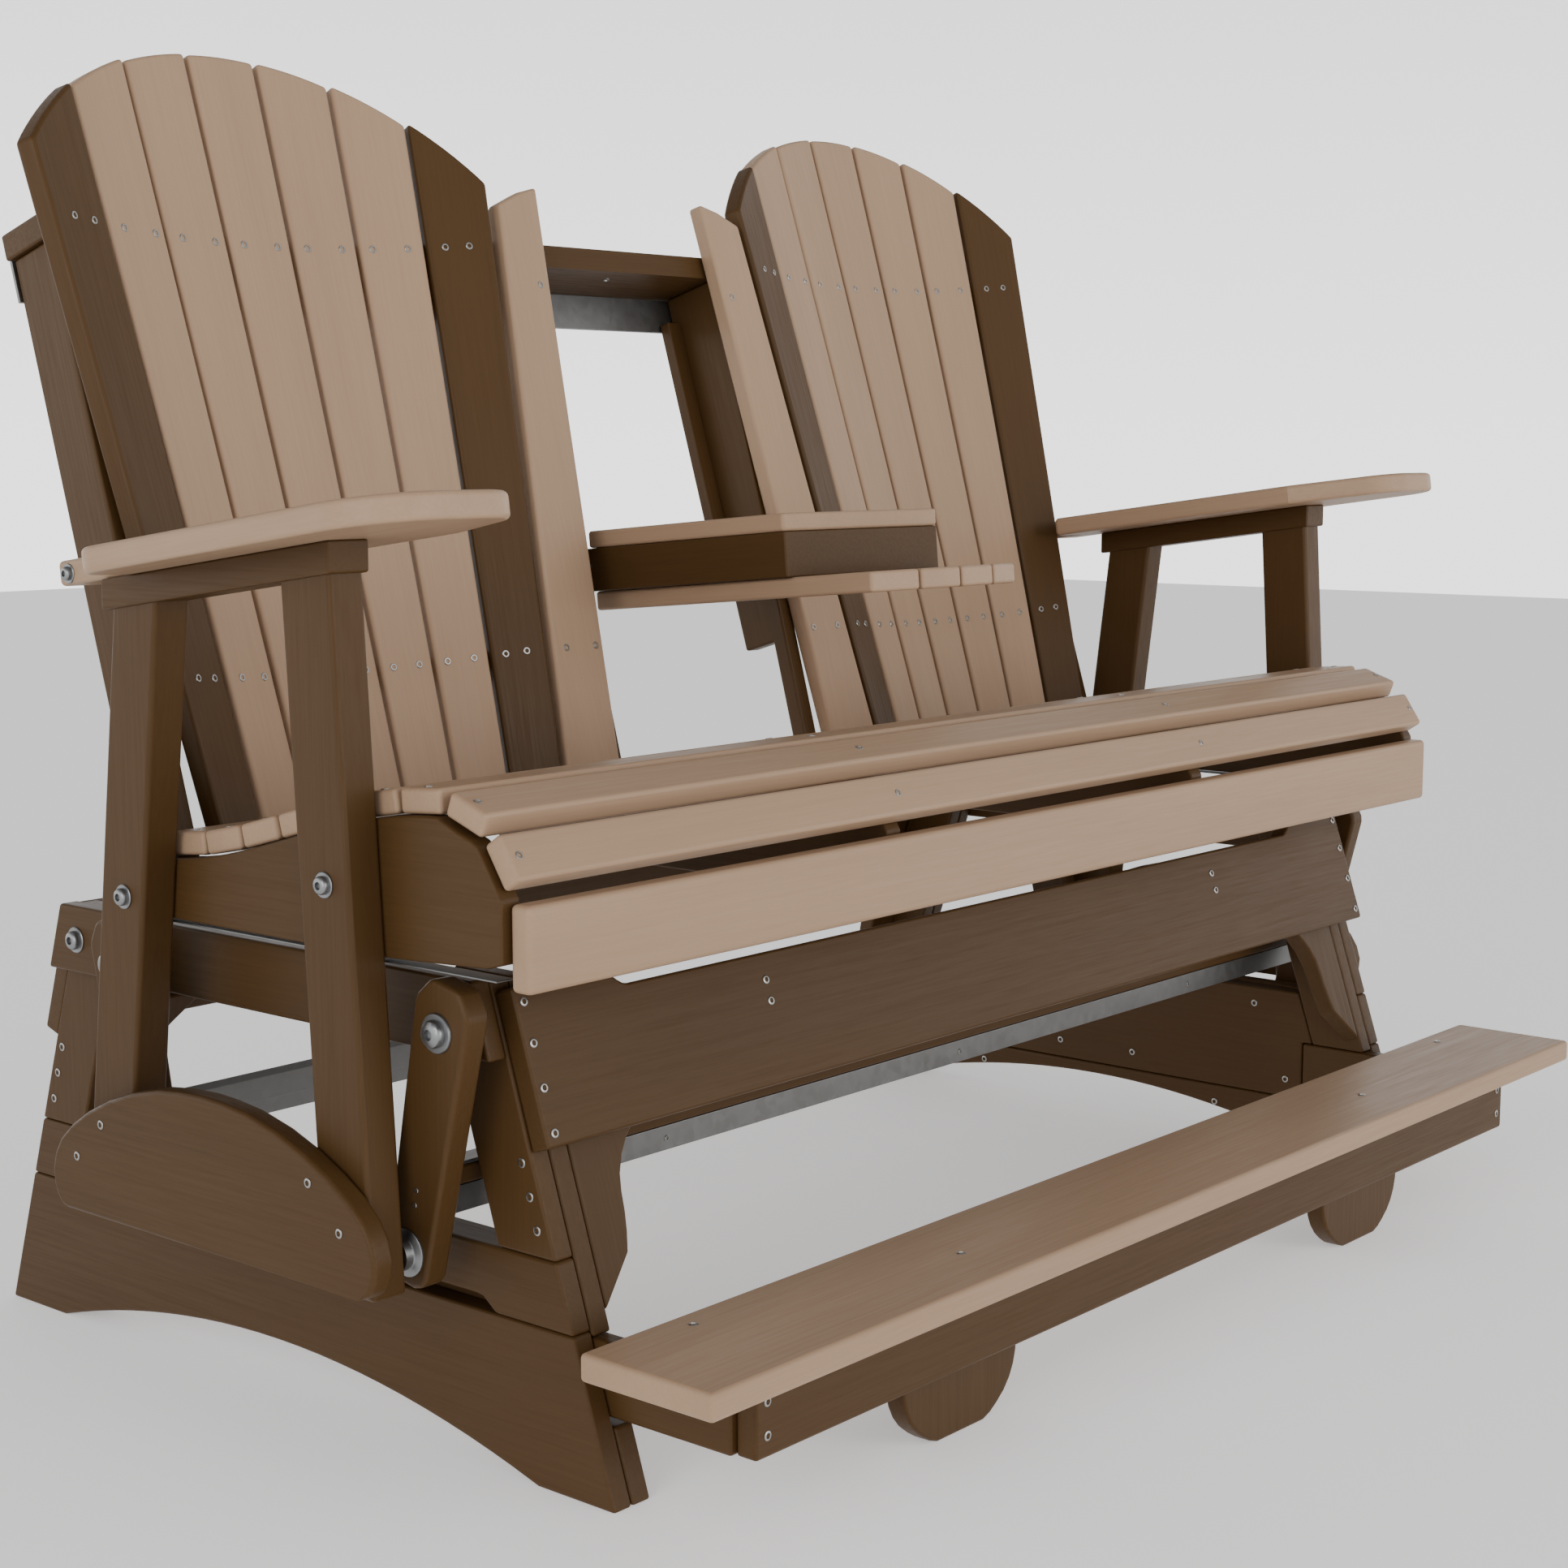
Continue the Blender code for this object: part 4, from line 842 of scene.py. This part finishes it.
# %% Rails, posts, cap and wing slats
def behind_plane(along):
    """Plane square to the slats at a distance up them: outline is (width, depth behind the face)."""
    return plane_at(LOW_ROW + UP * along, Vector((1.0, 0.0, 0.0)), BEHIND)


def post_plane(x):
    """Plane of a back post: outline is (depth behind the face, distance up the slats)."""
    return plane_at(Vector((x, LOW_ROW.y, LOW_ROW.z)), BEHIND, UP)


POST_REAR, CAP_THICK, WING_STEEPER = 0.0470, 0.0250, 0.0316
CAP_AT = up_to(1.0584)
UNDER_CAP = CAP_AT - CAP_THICK / 2 - 0.0004
steeper = UP - BEHIND * WING_STEEPER


def wing_depth(along):
    """Depth of the wing slats' face: they stand a little steeper than the fans."""
    return -0.0390 - WING_STEEPER * along


for side, sign in SIDES:
    rail = []
    for i in range(25):
        angle = -0.300 + 0.600 * i / 24
        radius = FAN_RADIUS + BOARD + 0.0008
        rail.append((sign * FAN_X + radius * math.sin(angle), radius * math.cos(angle) - FAN_RADIUS))
    rail += [(rail[-1][0], POST_REAR), (rail[0][0], POST_REAR)]
    board(f"back_rail_{side}", rail, BOARD, behind_plane(0.0), TAN, "seat", "u", ())
    foot, top = up_to(0.4700), UNDER_CAP
    outer = block(-0.0145, POST_REAR, foot, top)
    board(f"outer_post_{side}", outer, BOARD, post_plane(sign * 0.72425), BROWN, "seat", "v",
          [f"back_post_outer_{side}"])
    notch = up_to(0.6356)
    front_foot, front_top = wing_depth(foot) + 0.0218, wing_depth(top) + 0.0218
    inner = [(front_foot, foot), (front_foot + 0.0200, foot), (wing_depth(notch) + 0.0418, notch),
             (POST_REAR, notch), (POST_REAR, top), (front_top, top)]
    board(f"inner_post_{side}", inner, BOARD, post_plane(sign * 0.16275), BROWN, "seat", "v",
          [f"back_post_inner_{side}"])
    stop = block(0.0330, 0.0468, up_to(0.700), up_to(1.0155))
    board(f"console_stop_{side}", stop, 0.0215, post_plane(sign * 0.1410), BROWN, "seat", "v", (), 0.0015)
    wing = [(0.1780, -0.1340), (0.2555, -0.1340), (0.1925, 0.4800), (0.1600, 0.4945), (0.1317, 0.5020)]
    wing = [(sign * u, v) for u, v in wing]
    face = LOW_ROW + BEHIND * (wing_depth(0.0) + BOARD / 2)
    board(f"wing_{side}", wing, BOARD - 0.0008, plane_at(face, Vector((1, 0, 0)), steeper), TAN, "seat", "v",
          [f"wing_slat_{side}"], 0.0042, 4)
    for x, along in ((0.1547, 0.3916), (0.1804, -0.0017), (0.2235, -0.0017)):
        spot = LOW_ROW + UP * along + BEHIND * (wing_depth(along) + 0.0004)
        screw("seat", (sign * x, spot.y, spot.z), tuple(-BEHIND), 0.0040)

CAP_HALF, CAP_FRONT, CAP_REAR = 0.740, -0.0291, 0.0525
hollow = []
for i in range(33):
    angle = 0.420 - 0.840 * i / 32
    radius = FAN_RADIUS + BOARD + 0.0012
    hollow.append((radius * math.sin(angle), max(radius * math.cos(angle) - FAN_RADIUS, CAP_FRONT)))
right = [(FAN_X + u, v) for u, v in hollow if FAN_X + u <= CAP_HALF]
right = [(CAP_HALF, right[0][1])] + right + [(right[-1][0], CAP_FRONT)]
cap = [(-CAP_HALF, CAP_REAR), (CAP_HALF, CAP_REAR)] + right + [(-u, v) for u, v in reversed(right)]
board("cap_board", cap, CAP_THICK, behind_plane(CAP_AT), BROWN, "seat", "u", ["back_cap"], 0.0030)
strip = block(POST_REAR + 0.0004, POST_REAR + 0.0040, UNDER_CAP - 0.0400, UNDER_CAP)
board("cap_steel", strip, 1.4740, post_plane(0.0), ZINC, "seat", "w", ["back_strip"], 0.0006, 2)
spot = LOW_ROW + UP * (UNDER_CAP + 0.0002) - BEHIND * 0.005
screw("seat", (0.0, spot.y, spot.z), tuple(-UP), 0.0040)
print("cap board", 2000 * CAP_HALF, "mm long")

# %% [markdown]
# ## Centre console
#
# The console is a tan tray board on a brown box, hinged between the middle posts, with four fanned slats
# under it.  Swung up, the slats fill the gap between the two fans and the bench becomes a sofa; swung down,
# the tray lies at armrest height and slopes five degrees to the rear.

# %% Console
TRAY_SLOPE, TRAY_HALF, TRAY_THICK = 0.0870, 0.1285, 0.0185
BOX_TOP, BOX_DEEP, SHELF_TOP = 0.0187, 0.0465, 0.0650    # how far each lies below the tray's top face
TRAY_STRETCH = math.hypot(1.0, TRAY_SLOPE)
tray_way = Vector((0.0, 1.0, -TRAY_SLOPE)).normalized()


def tray_plane(drop):
    """Plane parallel to the tray, drop below its top face."""
    height = 0.7944 - TRAY_SLOPE * 0.1277
    return plane_at(Vector((0.0, 0.0, height - drop * TRAY_STRETCH)), Vector((1, 0, 0)), tray_way)


def tray_line(outline):
    """An outline with level depths, stretched to lie along the slope."""
    return [(u, v * TRAY_STRETCH) for u, v in outline]


def cornered(u, front, rear, radius, steps=5):
    """A rectangle whose two front corners are rounded."""
    line = []
    for sign in (-1, 1):
        for i in range(steps + 1):
            angle = math.radians(90 * i / steps)
            a = (1 - math.cos(angle)) if sign < 0 else (1 - math.sin(angle))
            b = (1 - math.sin(angle)) if sign < 0 else (1 - math.cos(angle))
            line.append((sign * (u - radius * a), front + radius * b))
    return line + [(u, rear), (-u, rear)]


board("console_tray", tray_line(cornered(TRAY_HALF, -0.1290, 0.1500, 0.006)), TRAY_THICK,
      tray_plane(TRAY_THICK / 2), TAN, "console", "v", ["console_top"], 0.0035, 4)
board("console_body", tray_line(cornered(TRAY_HALF - 0.001, -0.1310, 0.1600, 0.003)), BOX_DEEP,
      tray_plane(BOX_TOP + BOX_DEEP / 2), BROWN, "console", "v", ["console_box"], 0.0015, 3)


def shelf_front(u):
    """How far the shelf's front edge falls back at a distance from its middle."""
    return 0.0048 * abs(u) / 0.062 if abs(u) < 0.062 else 0.0048 + 0.0165 * (abs(u) - 0.062) / 0.061


for index, turn in enumerate((-1.5, -0.5, 0.5, 1.5)):
    line = []
    for share, v, width in ((-0.5, 0.1560, 0.0530), (-0.5, -0.2580, 0.0588), (0.5, -0.2580, 0.0588),
                            (0.5, 0.1560, 0.0530)):
        u = turn * (width + 0.0032) + share * width
        line.append((u, v + (shelf_front(u) if v < 0 else 0.0)))
    nodes = ["console_shelf"] if index == 0 else ()
    board(f"console_slat_{index + 1}", tray_line(line), BOARD - 0.0006, tray_plane(SHELF_TOP + BOARD / 2),
          TAN, "console", "v", nodes, 0.0035, 4)
for sign in (-1, 1):
    turned(hardware["console"], (sign * 0.1510, 0.1520, 0.7320), (sign, 0, 0),
           [(0.0060, -0.0240), (0.0060, 0.0)], 20)
print("console tray", round(2 * TRAY_HALF * 1000), "mm wide")

# %% [markdown]
# ## Hardware
#
# Now the screws and bolts gathered along the way are built, one piece for each body they ride on.

# %% Screws and bolts
for body, spots in screw_spots.items():
    bm = bmesh.new()
    for where, facing, radius in spots:
        rings = [(radius, -0.0010), (radius, 0.0004), (radius * 0.88, 0.0008), (radius * 0.58, 0.0008),
                 (radius * 0.46, -0.0012), (radius * 0.20, -0.0006)]
        turned(bm, where, facing, rings, 12)
    bmesh.ops.recalc_face_normals(bm, faces=bm.faces)
    if spots:
        settle(f"{body}_screws", bm, Matrix.Identity(4), STAINLESS, body, even=False)
    else:
        bm.free()
for body, bm in hardware.items():
    bmesh.ops.recalc_face_normals(bm, faces=bm.faces)
    if len(bm.verts):
        settle(f"{body}_bolts", bm, Matrix.Identity(4), PLATED, body, even=False)
    else:
        bm.free()
print("screws:", sum(len(s) for s in screw_spots.values()))

# %% [markdown]
# ## Floor, light and camera
#
# A pale floor that glows faintly and a pale world give the even light of a studio.  The world is bright at
# the horizon and dim overhead, so upright faces are not left darker than level ones.  A large soft light
# stands in front of the glider, low enough to reach under the seat, and a weaker one fills in from the left.
# The camera stands off the left front corner, a little above the armrests, and looks slightly down.

# %% Floor, light and camera
floor_mesh = bpy.data.meshes.new("studio_floor")
bm = bmesh.new()
bmesh.ops.create_grid(bm, x_segments=1, y_segments=1, size=12.0)
bm.to_mesh(floor_mesh)
bm.free()
floor = bpy.data.objects.new("studio_floor", floor_mesh)
bpy.context.scene.collection.objects.link(floor)
pale, _, pale_shader = new_material("pale_studio_paint", 0.9)
pale_shader.inputs["Base Color"].default_value = linear("#F8F8F8")
pale_shader.inputs["Emission Color"].default_value = linear("#FFFFFF")
pale_shader.inputs["Emission Strength"].default_value = 0.40
floor_mesh.materials.append(pale)
floor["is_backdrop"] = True

world = bpy.data.worlds.new("studio")
bpy.context.scene.world = world
world.use_nodes = True
tree = world.node_tree
heading = add_node(tree, "ShaderNodeTexCoord").outputs["Generated"]
upward = add_node(tree, "ShaderNodeSeparateXYZ", None, {0: heading}).outputs["Z"]
glow = add_node(tree, "ShaderNodeMapRange", {"From Min": 0.0, "From Max": 0.6, "To Min": 2.3, "To Max": 0.35},
                {"Value": upward})
tree.nodes["Background"].inputs["Color"].default_value = linear("#FFFFFF")
tree.links.new(glow.outputs[0], tree.nodes["Background"].inputs["Strength"])


def soft_light(name, where, size, watts):
    """A round soft light that faces the middle of the glider."""
    lamp = bpy.data.lights.new(name, "AREA")
    lamp.shape = "DISK"
    lamp.size = size
    lamp.energy = watts
    holder = bpy.data.objects.new(name, lamp)
    holder.location = where
    holder.rotation_euler = (Vector(where) - Vector((0.0, 0.0, 0.6))).to_track_quat("Z", "Y").to_euler()
    bpy.context.scene.collection.objects.link(holder)


soft_light("front_light", (0.6, -4.8, 1.5), 2.4, 62)
soft_light("left_fill", (-4.2, -1.0, 1.9), 2.2, 40)

camera = bpy.data.objects.new("camera", bpy.data.cameras.new("camera"))
camera.data.lens = 59.59
camera.data.sensor_width = 36.0
camera.data.shift_x = -0.00093
camera.data.shift_y = -0.00104
turn = Matrix.Rotation(math.radians(-49.656), 4, "Z") @ Matrix.Rotation(math.radians(82.639), 4, "X")
level = Matrix.Rotation(math.radians(-0.07), 4, "Z")
camera.matrix_world = Matrix.Translation((-2.1385, -1.8374 + SET_BACK, 0.8603)) @ turn @ level
bpy.context.scene.collection.objects.link(camera)
bpy.context.scene.camera = camera

# %% [markdown]
# ## Size
#
# The box round the visual model is printed.

# %% Print the visual model's box
low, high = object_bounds()
print("visual box", [round(v, 4) for v in (*low, *high)])
